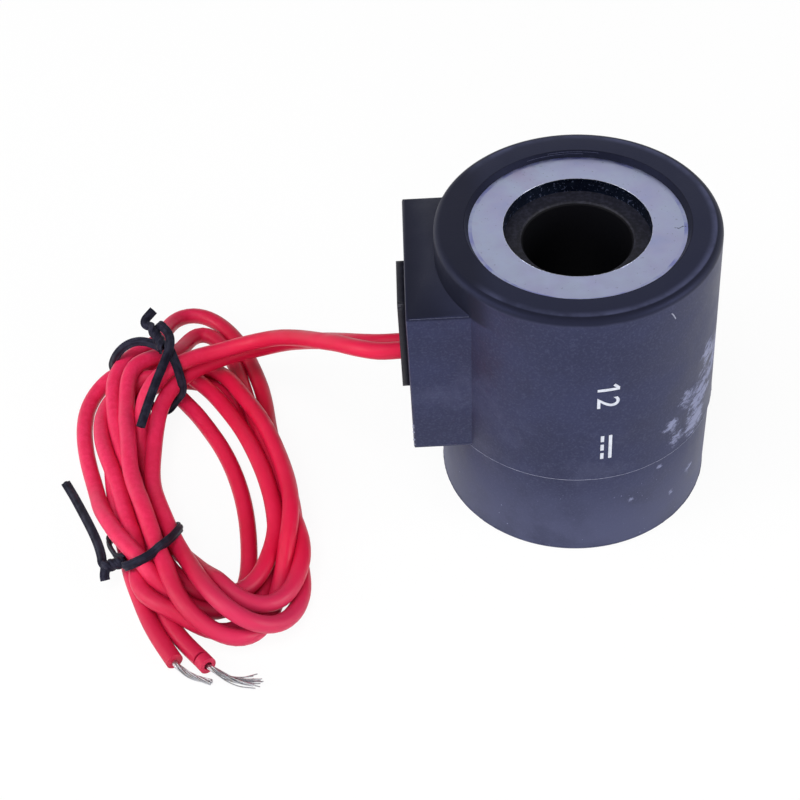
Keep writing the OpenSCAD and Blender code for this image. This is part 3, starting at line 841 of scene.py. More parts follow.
@dataclass
class LeadPair:
    """The two red leads: out of the pad, down to the floor, and wound into a hank with its ends free.

    Settling moves the planned lines in rounds. In each, a strand sinks a little, is drawn back to its plan,
    keeps its stiffness and pushes its neighbours away, while the ties hold it off the floor.
    """

    diameter: float = 2 * LEAD_RADIUS
    length: float = 530.0
    step: float = 1.5
    final_step: float = 1.0
    corners: int = 18
    exit_point: int = 2
    last_held: int = -4
    loosens_over: int = 14
    tightens_over: int = 12
    rounds: int = 240
    look_every: int = 8
    passes: int = 3
    sink: float = 0.008
    hold: float = 0.06
    least_hold: float = 0.02
    stiffness: float = 0.1
    push: float = 0.2
    own_reach: float = 2.2
    touch_reach: float = 1.7
    tie_lift: float = 0.95
    tie_edge: float = 1.25
    tie_reach: float = 5.0
    tie_lines: tuple[tuple[Point, Point], ...] = (
        ((-77.2, 22.3, 0.0), (-65.9, 9.4, 0.0)), ((-76.0, -14.7, 0.0), (-60.3, -13.9, 0.0)))
    left_rungs: tuple[Rung, ...] = (
        Rung(-67.4, 11.0, -0.98, 0.2), Rung(-68.6, 3.0, -1.0, 0.03), Rung(-68.2, -5.0, -0.98, -0.15),
        Rung(-67.1, -11.0, -0.95, -0.25), Rung(-64.4, -16.8, -0.88, -0.4))
    right_rungs: tuple[Rung, ...] = (
        Rung(-52.2, -19.0, 1.0, 0.0), Rung(-53.4, -9.0, 1.0, 0.05), Rung(-57.3, 2.6, 0.97, 0.2),
        Rung(-62.6, 11.2, 0.9, 0.3))
    lines: dict[Lead, np.ndarray] = field(default_factory=dict)

    def run(self, rungs: tuple[Rung, ...], lanes: tuple[float, ...],
            layers: tuple[float, ...]) -> list[Point]:
        """Gives one pass along a run, rung by rung."""
        return [rung.place(out, layer, self.diameter) for rung, out, layer in zip(rungs, lanes, layers)]

    def planned(self, plan: LeadPlan) -> np.ndarray:
        """Winds one lead by its plan, turn after turn.

        Args:
            plan: the lead's free part, turns and tail.

        Returns:
            The line in millimetres, before the strands are laid clear of each other.
        """
        points = list(plan.free)
        for number, turn in enumerate(plan.turns):
            rungs = self.left_rungs[1:] if number == 0 else self.left_rungs
            points += self.run(rungs, turn.left, turn.left_layers)
            points += list(turn.low)
            points += self.run(self.right_rungs, turn.right, turn.right_layers)
            points += list(turn.top)
        points += list(plan.tail)
        return flowing(points, self.step)

    def looseness(self, line: np.ndarray, plan: LeadPlan) -> np.ndarray:
        """Says how far each point of a lead may move: not at all in its free part and at its end.

        Args:
            line: the lead's points.
            plan: the lead's plan.

        Returns:
            A share from 0 to 1 for each point.
        """
        held = int(np.argmin(np.linalg.norm(line - np.asarray(plan.free[self.last_held]), axis=1)))
        count = np.arange(len(line))
        from_start = np.clip((count - held) / self.loosens_over, 0, 1)
        return from_start * np.clip((len(line) - 1 - count) / self.tightens_over, 0, 1)

    def pairs(self, points: np.ndarray, owner: np.ndarray,
              place: np.ndarray) -> tuple[np.ndarray, np.ndarray]:
        """Lists the pairs of points that are close enough to touch soon.

        Args:
            points: all points of both leads.
            owner: the lead that each point is on.
            place: each point's number along its lead.

        Returns:
            The numbers of the first and second points of the pairs.
        """
        gaps = np.linalg.norm(points[:, None] - points[None], axis=2)
        along = np.abs(place[:, None] - place[None]) <= int(self.own_reach * self.diameter / self.step)
        close = (gaps < self.touch_reach * self.diameter) & ~((owner[:, None] == owner[None]) & along)
        return np.nonzero(np.triu(close, 1))

    def settle(self) -> None:
        """Lays the strands beside and on each other: they sink, stay stiff and push each other away."""
        lines = [self.planned(plan) for plan in LEAD_PLANS.values()]
        loose = np.concatenate([self.looseness(*each) for each in zip(lines, LEAD_PLANS.values())])
        cuts = np.cumsum([0] + [len(line) for line in lines])
        points = np.vstack(lines)
        wanted = points.copy()
        owner = np.concatenate([np.full(len(line), number) for number, line in enumerate(lines)])
        place = np.concatenate([np.arange(len(line)) for line in lines])
        for number in range(self.rounds):
            fade = 1 - number / self.rounds
            if number % self.look_every == 0:
                first, second = self.pairs(points, owner, place)
            points[:, 2] -= self.sink * loose
            points += (self.hold * fade + self.least_hold) * (wanted - points) * loose[:, None]
            for start, end in zip(cuts[:-1], cuts[1:]):
                self.stiffen(points[start:end], loose[start:end])
            for _ in range(self.passes):
                self.part(points, first, second, loose)
            points[:, 2] = np.maximum(points[:, 2], self.diameter / 2 + self.lift(points) * loose)
        for lead, start, end in zip(LEAD_PLANS, cuts[:-1], cuts[1:]):
            self.lines[lead] = flowing(points[start:end], self.final_step)

    def lift(self, points: np.ndarray) -> np.ndarray:
        """Says how high the ties, which pass under the hank, hold each point off the floor.

        Args:
            points: all points of both leads.

        Returns:
            A height in millimetres for each point.
        """
        height = np.zeros(len(points))
        for start, end in self.tie_lines:
            base = np.asarray(start[:2])
            way = np.asarray(end[:2]) - base
            share = np.clip((points[:, :2] - base) @ way / (way @ way), 0, 1)
            gap = np.linalg.norm(points[:, :2] - base - share[:, None] * way, axis=1)
            height = np.maximum(height, self.tie_lift * np.clip(self.tie_edge - gap / self.tie_reach, 0, 1))
        return height

    def stiffen(self, line: np.ndarray, loose: np.ndarray) -> None:
        """Evens out a line's bends in place, as the wire's own stiffness does.

        Args:
            line: the lead's points.
            loose: how far each point may move.
        """
        for _ in range(self.passes):
            change = line[:-4] - 4 * line[1:-3] + 6 * line[2:-2] - 4 * line[3:-1] + line[4:]
            line[2:-2] -= self.stiffness * change * loose[2:-2, None]

    def part(self, points: np.ndarray, first: np.ndarray, second: np.ndarray, loose: np.ndarray) -> None:
        """Pushes strands that lie in each other apart, in place.

        Args:
            points: all points of both leads.
            first: the first point of each pair.
            second: the second point of each pair.
            loose: how far each point may move.
        """
        apart = points[first] - points[second]
        gap = np.linalg.norm(apart, axis=1)
        touching = gap < self.diameter
        one, other = first[touching], second[touching]
        gap = gap[touching, None] + 1e-9
        push = self.push * (self.diameter - gap) / gap * apart[touching]
        np.add.at(points, one, push * loose[one, None])
        np.add.at(points, other, -push * loose[other, None])

    def build(self, insulation: Material, ends: dict[Lead, list[Object]]) -> None:
        """Args:
            insulation: the leads' finish.
            ends: the pieces at each lead's stripped end; not used.
        """
        nodes = {Lead.A: ("lead_a", "lead_a_tail", "lead_hank"), Lead.B: ("lead_b", "lead_b_tail")}
        profile = ring_profile(self.diameter / 2 * MM, self.corners)
        for lead, line in self.lines.items():
            name = f"{lead.value}_insulation"
            tube = swept(name, line * MM, profile, np.array([0.0, 1.0, 0.0]), insulation)
            piece = add_piece(name, tube, "lead_insulation", *nodes[lead])


def pushed_clear(line: np.ndarray, strands: np.ndarray, gap: float, lowest: float, rounds: int = 60,
                 push: float = 0.5, evening: float = 0.2) -> np.ndarray:
    """Moves a tie's line out of the strands that it holds.

    Args:
        line: the tie's line.
        strands: points of the strands, which stay where they are.
        gap: the least distance between the tie's line and a strand's line.
        lowest: the least height of the tie's line.
        rounds: how many times the line is moved.
        push: the share of what is missing from the gap that one round makes up.
        evening: how strongly one round evens out the line's bends.

    Returns:
        The moved line, in the same unit.
    """
    moved = line.copy()
    rows = np.arange(len(moved))
    for _ in range(rounds):
        away = moved[:, None] - strands[None]
        gaps = np.linalg.norm(away, axis=2)
        nearest = np.argmin(gaps, axis=1)
        short = np.clip(gap - gaps[rows, nearest], 0, None)
        moved += push * short[:, None] * unit(away[rows, nearest])
        moved[1:-1] += evening * (moved[:-2] + moved[2:] - 2 * moved[1:-1])
        moved[:, 2] = np.maximum(moved[:, 2], lowest)
    return moved


def off_floor(line: np.ndarray, span: Span) -> np.ndarray:
    """Says how far each point is off the floor: 0 up to a span's first height and 1 from its second."""
    return np.clip((line[:, 2:] - span[0]) / (span[1] - span[0]), 0, 1)


@dataclass
class WireTie:
    """A flat vinyl strip with a wire core, laid round the hank, twisted on itself and left with two ends.

    The knot is the twist's two ends, first the one at the hank. The loop starts and ends there, and the
    tail and the stub start at the other. A strip that wraps has its flat side outwards all round the hank.
    Between the two heights of a floor span the strip turns from lying on the floor to its way above it.
    """

    name: str
    node: str
    knot: tuple[Point, Point]
    loop: tuple[Point, ...]
    tail: tuple[Point, ...]
    stub: tuple[Point, ...]
    wraps: bool = False
    width: float = 1.5
    core: float = 0.8
    wing: float = 0.36
    twist_radius: float = 0.62
    twist_turns: float = 1.25
    twist_points: int = 16
    twist_side: Point = (0.3, 0.2, -0.9)
    step: float = 0.25
    stub_step: float = 0.6
    lay_step: float = 0.5
    lay_every: int = 3
    floor_gap: float = 0.03
    evening_rounds: int = 8
    look_ahead: int = 4
    reach: float = 32.0
    front: Point = (0.03, -0.69, 0.72)
    facing_span: Span = (1.0, 3.0)
    wrapping_span: Span = (0.8, 2.4)
    sharp_degrees: float = 40.0

    def profile(self) -> np.ndarray:
        """Gives the strip's outline: two thin wings beside a round core.

        Returns:
            The outline's corners in metres.
        """
        half, thin, thick = self.width / 2, self.wing / 2, self.core / 2
        upper = [(half, thin * 0.6), (half * 0.9, thin), (half * 0.5, thin * 1.15),
                 (half * 0.3, thick * 0.9), (0.0, thick)]
        lower = [(x, -z) for x, z in reversed(upper)]
        left = [(-x, -z) for x, z in lower + upper]
        return np.asarray(lower + upper + left[1:-1]) * MM

    def twist(self, phase: float) -> tuple[np.ndarray, np.ndarray]:
        """Gives one strand of the twist, from the hank outwards.

        Args:
            phase: where the strand starts round the axis, in radians.

        Returns:
            The strand's points in millimetres and the way that its width runs at each.
        """
        start, end = (np.asarray(point) for point in self.knot)
        axis = unit(end - start)
        side = unit(np.cross(axis, self.twist_side))
        share = np.linspace(0.0, 1.0, self.twist_points)[:, None]
        angle = phase + share * self.twist_turns * 2 * math.pi
        out = np.cos(angle) * side + np.sin(angle) * np.cross(axis, side)
        return start + share * (end - start) + self.twist_radius * out, np.cross(axis, out)

    def facing(self, line: np.ndarray) -> np.ndarray:
        """Gives the way that the width runs of a strip with its flat side to the front.

        Args:
            line: the strip's points in millimetres.

        Returns:
            The way at each point.
        """
        upper = off_floor(line, self.facing_span)
        face = upper * np.asarray(self.front) + (1 - upper) * np.array([0.0, 0.0, 1.0])
        return unit(np.cross(np.gradient(line, axis=0), face))

    def wrapped(self, line: np.ndarray) -> np.ndarray:
        """Gives the way that the width runs of a strip with its flat side outwards, round the hank.

        Args:
            line: the loop's points in millimetres.

        Returns:
            The way at each point.
        """
        spokes = line - line.mean(axis=0)
        normal = unit(np.cross(spokes[:-1], spokes[1:]).sum(axis=0))
        along = unit(np.gradient(line, axis=0))
        width = normal - (along @ normal)[:, None] * along
        width[:, 2:] *= off_floor(line, self.wrapping_span)
        return unit(width)

    def laid(self, points: tuple[Point, ...], strands: np.ndarray) -> np.ndarray:
        """Lays a stretch of the strip clear of the strands and the floor.

        Args:
            points: the stretch's points in millimetres.
            strands: points of the leads near it.

        Returns:
            The laid points.
        """
        half = self.core / 2
        line = flowing(points, self.lay_step)
        return pushed_clear(line, strands, LEAD_RADIUS + half, half + self.floor_gap)[::self.lay_every]

    def build(self, vinyl: Material, strands: np.ndarray) -> Object:
        """Makes the tie as one strip.

        Args:
            vinyl: the tie's finish.
            strands: points of the leads that it holds, in millimetres.

        Returns:
            The piece.
        """
        near = strands[np.linalg.norm(strands - np.asarray(self.knot[0]), axis=1) < self.reach]
        stub = flowing(self.stub, self.stub_step)
        loop = self.laid(self.loop, near)
        tail = self.laid(self.tail, near)
        (first, first_side), (second, second_side) = self.twist(0.0), self.twist(math.pi)
        loop_side = self.wrapped(loop) if self.wraps else self.facing(loop)
        joined = np.vstack([stub[::-1], first[::-1], loop, second, tail])
        across = np.vstack([self.facing(stub)[::-1], first_side[::-1], loop_side, second_side,
                            self.facing(tail)])
        line = flowing(joined, self.step)
        spread = np.empty_like(line)
        place = 0
        for number, point in enumerate(line):
            ahead = joined[place:place + self.look_ahead]
            place += int(np.argmin(np.linalg.norm(ahead - point, axis=1)))
            same_way = number == 0 or across[place] @ spread[number - 1] >= 0
            spread[number] = across[place] if same_way else -across[place]
        for _ in range(self.evening_rounds):
            spread[1:-1] = unit(spread[:-2] + spread[1:-1] + spread[2:])
        mesh = swept(self.name, line * MM, self.profile(), spread, vinyl, self.sharp_degrees)
        return add_piece(self.name, mesh, "tie_vinyl", self.node)


UPPER_TIE = WireTie(
    name="upper_wire_tie", node="upper_tie", knot=((-66.6, 16.6, 11.8), (-68.5, 20.2, 12.8)),
    loop=((-67.8, 18.0, 10.9), (-69.3, 19.6, 10.9), (-71.9, 20.3, 10.6), (-74.3, 20.2, 9.3),
          (-75.6, 19.9, 7.6), (-76.4, 20.3, 5.6), (-77.0, 21.2, 3.2), (-76.9, 21.6, 0.9),
          (-75.4, 20.2, 0.5), (-71.4, 15.8, 0.5), (-68.2, 12.2, 0.5), (-66.7, 11.0, 1.0),
          (-65.9, 11.9, 3.4), (-65.2, 12.8, 5.8), (-64.5, 13.4, 7.8), (-64.2, 14.2, 9.8),
          (-64.5, 15.1, 11.0), (-65.4, 15.9, 11.8)),
    tail=((-67.3, 20.5, 13.4), (-65.8, 19.7, 13.6), (-64.9, 18.1, 13.4), (-64.8, 16.1, 13.0),
          (-65.5, 14.4, 12.6), (-66.6, 12.3, 11.6), (-68.2, 8.2, 9.8), (-69.2, 5.6, 8.6),
          (-69.8, 3.6, 7.8), (-70.1, 2.3, 7.4)),
    stub=((-69.0, 20.9, 12.8), (-69.8, 21.3, 12.8), (-69.9, 22.2, 13.0), (-69.3, 23.0, 13.3),
          (-68.5, 23.8, 13.7)))
LOWER_TIE = WireTie(
    name="lower_wire_tie", node="lower_tie", wraps=True, knot=((-70.9, -22.7, 4.6), (-73.8, -22.9, 3.8)),
    loop=((-70.4, -24.9, 6.0), (-69.1, -25.7, 7.2), (-67.7, -25.7, 7.7), (-66.1, -24.8, 8.0),
          (-64.5, -23.0, 7.9), (-63.4, -20.7, 7.2), (-62.8, -18.0, 5.6), (-62.9, -15.4, 3.8),
          (-63.4, -13.9, 2.2), (-63.6, -13.2, 0.6), (-65.0, -13.2, 0.5), (-70.0, -13.4, 0.5),
          (-74.2, -13.6, 0.5), (-75.2, -14.4, 0.9), (-74.6, -16.4, 1.8), (-73.6, -19.0, 3.0),
          (-72.2, -21.2, 3.6)),
    tail=((-74.4, -22.2, 3.8), (-74.5, -21.0, 3.9), (-75.2, -19.0, 3.8), (-76.9, -15.0, 3.2),
          (-79.1, -10.3, 2.4), (-81.2, -5.9, 1.7), (-83.2, -2.2, 1.2)),
    stub=((-74.0, -23.5, 3.5), (-74.1, -24.1, 3.0), (-74.0, -24.6, 2.5)))


class Inputs:
    """The named inputs of a Geometry Nodes tree, with its group nodes."""

    def __init__(self, name: str, sizes: dict[str, float | int]) -> None:
        """Starts a tree that takes a geometry and named sizes.

        Args:
            name: the tree's name.
            sizes: the default of each input, whole numbers for counts and seeds.
        """
        self.tree = bpy.data.node_groups.new(name, "GeometryNodeTree")
        sockets = self.tree.interface
        sockets.new_socket("Geometry", in_out="INPUT", socket_type="NodeSocketGeometry")
        for label, value in sizes.items():
            kind = "NodeSocketInt" if isinstance(value, int) else "NodeSocketFloat"
            sockets.new_socket(label, in_out="INPUT", socket_type=kind).default_value = value
        sockets.new_socket("Geometry", in_out="OUTPUT", socket_type="NodeSocketGeometry")
        self.given = add_node(self.tree, "NodeGroupInput").outputs

    def add(self, kind: str, inputs: dict[str | int, Any] | None = None, **settings: Any) -> Node:
        """Adds a node to the tree."""
        return add_node(self.tree, kind, inputs, **settings)

    def close(self, geometry: NodeSocket, material: Material) -> None:
        """Ends the tree with real geometry in one material.

        Args:
            geometry: what the tree has made.
            material: its finish.
        """
        real = self.add("GeometryNodeRealizeInstances", {"Geometry": geometry}).outputs[0]
        smooth = self.add("GeometryNodeSetShadeSmooth", {"Geometry": real, "Shade Smooth": True}).outputs[0]
        dressed = self.add("GeometryNodeSetMaterial", {"Geometry": smooth, "Material": material}).outputs[0]
        self.add("NodeGroupOutput", {"Geometry": dressed})

    def mesh_on(self, name: str, line: np.ndarray, sizes: dict[str, float | int]) -> Mesh:
        """Runs the tree on a line.

        Args:
            name: the mesh's name.
            line: the line's points in metres.
            sizes: values for the tree's named inputs.

        Returns:
            The result as a plain mesh.
        """
        curve = bpy.data.curves.new(name + "_path", "CURVE")
        curve.dimensions = "3D"
        spline = curve.splines.new("POLY")
        spline.points.add(len(line) - 1)
        spline.points.foreach_set("co", np.c_[line, np.ones(len(line))].ravel())
        holder = bpy.data.objects.new(name + "_path", curve)
        bpy.context.scene.collection.objects.link(holder)
        modifier = holder.modifiers.new("nodes", "NODES")
        modifier.node_group = self.tree
        for item in self.tree.interface.items_tree:
            if item.in_out == "INPUT" and item.name in sizes:
                modifier[item.identifier] = sizes[item.name]
        holder.update_tag()
        made = holder.evaluated_get(bpy.context.evaluated_depsgraph_get())
        mesh = bpy.data.meshes.new_from_object(made)
        mesh.name = name
        bpy.data.objects.remove(holder)
        return mesh


@dataclass
class StrippedEnd:
    """The bare strands at a lead's end: fine tinned wires, twisted and a little frayed.

    Each way is the line of a lead's strands from inside its insulation, with how far they fray, all in
    millimetres.
    """

    strands: int = 16
    bundle_radius: float = 0.42
    wire_radius: float = 0.1
    twist: float = 4.0
    stations: int = 40
    sides: int = 6
    fray_power: float = 2.5
    fray_low: Point = (-1.0, -1.0, -0.25)
    fray_high: Point = (1.0, 1.0, 1.0)
    seed: int = 7
    step: float = 0.3
    ways: tuple[tuple[Lead, float, tuple[Point, ...]], ...] = (
        (Lead.A, 0.2, ((-62.75, -39.15, 1.4), (-62.0, -40.4, 1.25), (-60.4, -41.6, 0.8),
                       (-58.6, -42.5, 0.6), (-56.9, -43.2, 0.55))),
        (Lead.B, 1.1, ((-57.9, -40.5, 1.95), (-56.3, -42.0, 2.0), (-54.5, -43.0, 1.5),
                       (-52.5, -43.7, 1.05), (-50.2, -44.0, 0.8))))

    def tree(self, metal: Material) -> Inputs:
        """Builds the tree that lays a bundle of wires along a line.

        Args:
            metal: the wires' finish.

        Returns:
            The tree with its named inputs.
        """
        sizes = {"Strands": self.strands, "Bundle Radius": self.bundle_radius * MM,
                 "Wire Radius": self.wire_radius * MM, "Twist": self.twist, "Fray": 0.0, "Seed": self.seed}
        bundle = Inputs("stripped_strands", sizes)
        given = bundle.given
        even = bundle.add("GeometryNodeResampleCurve", {"Curve": given["Geometry"], "Count": self.stations})
        copies = bundle.add("GeometryNodeDuplicateElements", {
            "Geometry": even.outputs[0], "Amount": given["Strands"]}, domain="SPLINE").outputs
        number = copies["Duplicate Index"]
        along = bundle.add("GeometryNodeSplineParameter").outputs["Factor"]
        turned = bundle.add("ShaderNodeMath", {0: along, 1: given["Twist"]},
                            operation="MULTIPLY").outputs[0]
        angle = bundle.add("ShaderNodeMath", {0: number, 1: GOLDEN_ANGLE, 2: turned},
                           operation="MULTIPLY_ADD").outputs[0]
        out = bundle.add("ShaderNodeVectorRotate", {
            "Vector": bundle.add("GeometryNodeInputNormal").outputs[0],
            "Axis": bundle.add("GeometryNodeInputTangent").outputs[0], "Angle": angle}).outputs[0]
        share = bundle.add("ShaderNodeMath", {0: number, 1: given["Strands"]},
                           operation="DIVIDE").outputs[0]
        root = bundle.add("ShaderNodeMath", {0: share}, operation="SQRT").outputs[0]
        radius = bundle.add("ShaderNodeMath", {0: root, 1: given["Bundle Radius"]},
                            operation="MULTIPLY").outputs[0]
        spread = bundle.add("ShaderNodeVectorMath", {0: out, "Scale": radius}, operation="SCALE").outputs[0]
        chance = bundle.add("FunctionNodeRandomValue", {
            0: self.fray_low, 1: self.fray_high, "ID": number, "Seed": given["Seed"]},
            data_type="FLOAT_VECTOR").outputs[0]
        later = bundle.add("ShaderNodeMath", {0: along, 1: self.fray_power}, operation="POWER").outputs[0]
        stray = bundle.add("ShaderNodeMath", {0: later, 1: given["Fray"]}, operation="MULTIPLY").outputs[0]
        frayed = bundle.add("ShaderNodeVectorMath", {0: chance, "Scale": stray},
                            operation="SCALE").outputs[0]
        offset = bundle.add("ShaderNodeVectorMath", {0: spread, 1: frayed}, operation="ADD").outputs[0]
        laid = bundle.add("GeometryNodeSetPosition", {"Geometry": copies["Geometry"], "Offset": offset})
        ring = bundle.add("GeometryNodeCurvePrimitiveCircle", {
            "Resolution": self.sides, "Radius": given["Wire Radius"]})
        wires = bundle.add("GeometryNodeCurveToMesh", {
            "Curve": laid.outputs[0], "Profile Curve": ring.outputs["Curve"], "Fill Caps": True})
        bundle.close(wires.outputs[0], metal)
        return bundle

    def build(self, metal: Material) -> dict[Lead, list[Object]]:
        """Makes the strands of both leads.

        Args:
            metal: the wires' finish.

        Returns:
            The pieces at each lead's end.
        """
        bundle = self.tree(metal)
        made = {}
        for lead, fray, way in self.ways:
            name = lead.value + "_bare_strands"
            mesh = bundle.mesh_on(name, flowing(way, self.step) * MM, {"Fray": fray * MM, "Seed": self.seed})
            made[lead] = [add_piece(name, mesh, "tinned_copper", lead.value + "_strands")]
        return made


@dataclass
class RatingMark:
    """A plain number with the sign for direct current, pad printed in white, reading down the body.

    A bar is its start and end along the print and its low and high edge across it. The body's wall runs
    straight from its radius at the seam to that at the rim.
    """

    text: str = "12"
    letter_mm: float = 3.4
    size_for_height: float = 1.38
    spacing: float = 1.1
    boldness: float = 0.01
    flag: tuple[float, float, float, float] = (0.15, 1.2, 2.55, 2.97)
    flag_turn: float = 0.75
    bar: tuple[float, float, float, float] = (10.6, 15.4, 1.9, 2.4)
    dash: tuple[float, float, float, float] = (10.6, 11.8, 0.7, 1.2)
    dash_step: float = 1.8
    dashes: int = 3
    longest_edge: float = 0.5
    cuts: int = 3
    top_z: float = 36.6
    left_degrees: float = -86.6
    ink_mm: float = 0.02
    seam_z: float = 16.8
    seam_radius: float = 21.35
    rim_z: float = 49.0
    rim_radius: float = 20.9
    ink: PlainFinish = PlainFinish("ink_white_pad_printed", "#c9cdd8", "#b4b8c6", 0.0, 0.6, 0.8)

    def on_body(self, down: float, right: float, out: float) -> Point:
        """Lays a point of the print on the drafted body, in metres.

        Args:
            down: millimetres down from the top of the print.
            right: millimetres round to the right of its foot line.
            out: millimetres above the surface.

        Returns:
            The point in metres.
        """
        height = self.top_z - down
        share = (height - self.seam_z) / (self.rim_z - self.seam_z)
        radius = self.seam_radius + (self.rim_radius - self.seam_radius) * share
        angle = math.radians(self.left_degrees) + right / radius
        reach = radius + out
        return reach * math.cos(angle) * MM, reach * math.sin(angle) * MM, height * MM

    def figures(self) -> bmesh.types.BMesh:
        """Draws the number flat.

        Returns:
            The drawn figures, in millimetres.
        """
        curve = bpy.data.curves.new("rating_figures", "FONT")
        curve.body = self.text
        curve.size = self.letter_mm * self.size_for_height
        curve.space_character = self.spacing
        curve.offset = self.boldness
        curve.extrude = self.ink_mm
        holder = bpy.data.objects.new("rating_figures", curve)
        bpy.context.scene.collection.objects.link(holder)
        flat = bpy.data.meshes.new_from_object(holder.evaluated_get(bpy.context.evaluated_depsgraph_get()))
        drawn = bmesh.new()
        drawn.from_mesh(flat)
        bpy.data.objects.remove(holder)
        bpy.data.meshes.remove(flat)
        return drawn

    def add_bar(self, drawn: bmesh.types.BMesh, bar: tuple[float, float, float, float], shift: float = 0.0,
                turn: float = 0.0) -> None:
        """Adds one bar to the print.

        Args:
            drawn: the print so far.
            bar: the bar in millimetres.
            shift: millimetres by which it is moved along the print.
            turn: the angle by which it is turned, in radians.
        """
        start, end, low, high = bar
        size = (end - start, high - low, 2 * self.ink_mm, 1.0)
        middle = ((start + end) / 2 + shift, (low + high) / 2, 0.0)
        place = Matrix.Translation(middle) @ Matrix.Rotation(turn, 4, "Z")
        bmesh.ops.create_cube(drawn, size=1.0, matrix=place @ Matrix.Diagonal(size))

    def build(self) -> None:
        """Draws the print, bends it round the body and adds it as a piece."""
        drawn = self.figures()
        self.add_bar(drawn, self.flag, turn=self.flag_turn)
        self.add_bar(drawn, self.bar)
        for number in range(self.dashes):
            self.add_bar(drawn, self.dash, self.dash_step * number)
        long_edges = [edge for edge in drawn.edges if edge.calc_length() > self.longest_edge]
        bmesh.ops.subdivide_edges(drawn, edges=long_edges, cuts=self.cuts, use_grid_fill=True)
        for vertex in drawn.verts:
            vertex.co = self.on_body(vertex.co.x, vertex.co.y, vertex.co.z + self.ink_mm)
        bmesh.ops.triangulate(drawn, faces=drawn.faces)
        bmesh.ops.recalc_face_normals(drawn, faces=drawn.faces)
        mesh = bpy.data.meshes.new("rating_print")
        drawn.to_mesh(mesh)
        drawn.free()
        mesh.materials.append(self.ink.make())
        add_piece("rating_print", mesh, "moulded_plastic")


def arc(radius: float, height: float, start: float, end: float, count: int = 120) -> np.ndarray:
    """Gives points on a level arc round the body's axis, in millimetres, between two angles in degrees."""
    angles = np.radians(np.linspace(start, end, count))
    return np.stack([radius * np.cos(angles), radius * np.sin(angles), np.full(count, height)], axis=1)


def straight(start: Point, end: Point, count: int = 30) -> np.ndarray:
    """Gives points on a straight line, in millimetres."""
    return np.linspace(start, end, count)


class Trace(Enum):
    """What leaves a hairline on the coil, by the finish that it shows; some hairlines are painted highlights
    along edges.
    """

    FLASH = PlainFinish("nylon_pale_flash", "#7b7e94", "#9396aa", 0.0, 0.6, 0.4)
    # Painted highlights along the moulding's edges, and the recess's turning marks.
    EDGE_HIGHLIGHT_AND_MARK = PlainFinish("nylon_edge_highlight_and_mark", "#34374e", "#4c4f6c", 0.0, 0.55, 0.6)
    # A thin ring at the washer's hole, painted bright as a highlight.
    HOLE_HIGHLIGHT = PlainFinish("zinc_hole_highlight", "#e8ecff", "#c4ccec", 1.0, 0.3, 0.5)
    SCRATCH = PlainFinish("zinc_scored", "#3c3e52", "#55586e", 0.0, 0.6, 0.3)


@dataclass(frozen=True)
class Hairline:
    """One fine line on the coil, with torn beads along it. Its sizes are in millimetres."""

    name: str
    trace: Trace
    line: np.ndarray
    count: int
    line_radius: float
    bead_share: float = 0.06
    bead_size: float = 0.06
    waver: float = 0.02
    seed: int = 4

    def sizes(self) -> dict[str, float | int]:
        """Gives the values for the tree's named inputs."""
        return {"Count": self.count, "Bead Size": self.bead_size * MM, "Bead Share": self.bead_share,
                "Line Radius": self.line_radius * MM, "Waver": self.waver * MM, "Seed": self.seed}


HAIRLINES = (
    Hairline("seam_flash", Trace.FLASH, arc(21.35, 16.83, -148.0, 148.0), 260, 0.035, bead_share=0.05,
             seed=5),
    Hairline("boss_edge_flash", Trace.FLASH, straight((-25.28, -13.3, 17.6), (-25.28, -13.3, 22.4)), 26,
             0.02, bead_share=0.5, bead_size=0.14, waver=0.05, seed=2),
    # Painted highlights along the boss's edges and round the base's foot.
    Hairline("boss_top_edge", Trace.EDGE_HIGHLIGHT_AND_MARK, straight((-24.9, -13.25, 43.75), (-16.4, -13.25, 43.75)), 60,
             0.055),
    Hairline("boss_front_edge", Trace.EDGE_HIGHLIGHT_AND_MARK, straight((-25.25, -13.25, 17.4), (-25.25, -13.25, 43.4)), 60,
             0.055),
    Hairline("boss_foot_edge", Trace.EDGE_HIGHLIGHT_AND_MARK, straight((-23.2, -13.4, 17.4), (-16.4, -13.4, 17.4)), 60,
             0.055),
    Hairline("base_edge", Trace.EDGE_HIGHLIGHT_AND_MARK, arc(20.94, 0.4, -180.0, 180.0), 260, 0.09),
    Hairline("recess_turning_1", Trace.EDGE_HIGHLIGHT_AND_MARK, arc(16.02, 48.35, 68.0, 97.0), 80, 0.03),
    Hairline("recess_turning_2", Trace.EDGE_HIGHLIGHT_AND_MARK, arc(16.1, 48.55, 82.0, 113.0), 80, 0.03),
    Hairline("recess_turning_3", Trace.EDGE_HIGHLIGHT_AND_MARK, arc(16.22, 48.8, 74.0, 101.0), 80, 0.03),
    # Painted highlight round the washer's hole.
    Hairline("washer_edge", Trace.HOLE_HIGHLIGHT, arc(10.82, 48.08, -180.0, 180.0), 240, 0.05),
    Hairline("wall_nick", Trace.FLASH, straight((11.52, -17.48, 46.5), (12.2, -17.0, 45.0)), 8, 0.12,
             bead_share=0.3, bead_size=0.09, waver=0.05, seed=3),
    Hairline("washer_scratch", Trace.SCRATCH, np.array([
        (13.79, -1.4, 48.1), (14.4, -1.67, 48.1), (15.03, -1.22, 48.1), (15.58, -1.39, 48.1)]), 24, 0.045,
             bead_share=0.0, bead_size=0.09, waver=0.05, seed=6),
)


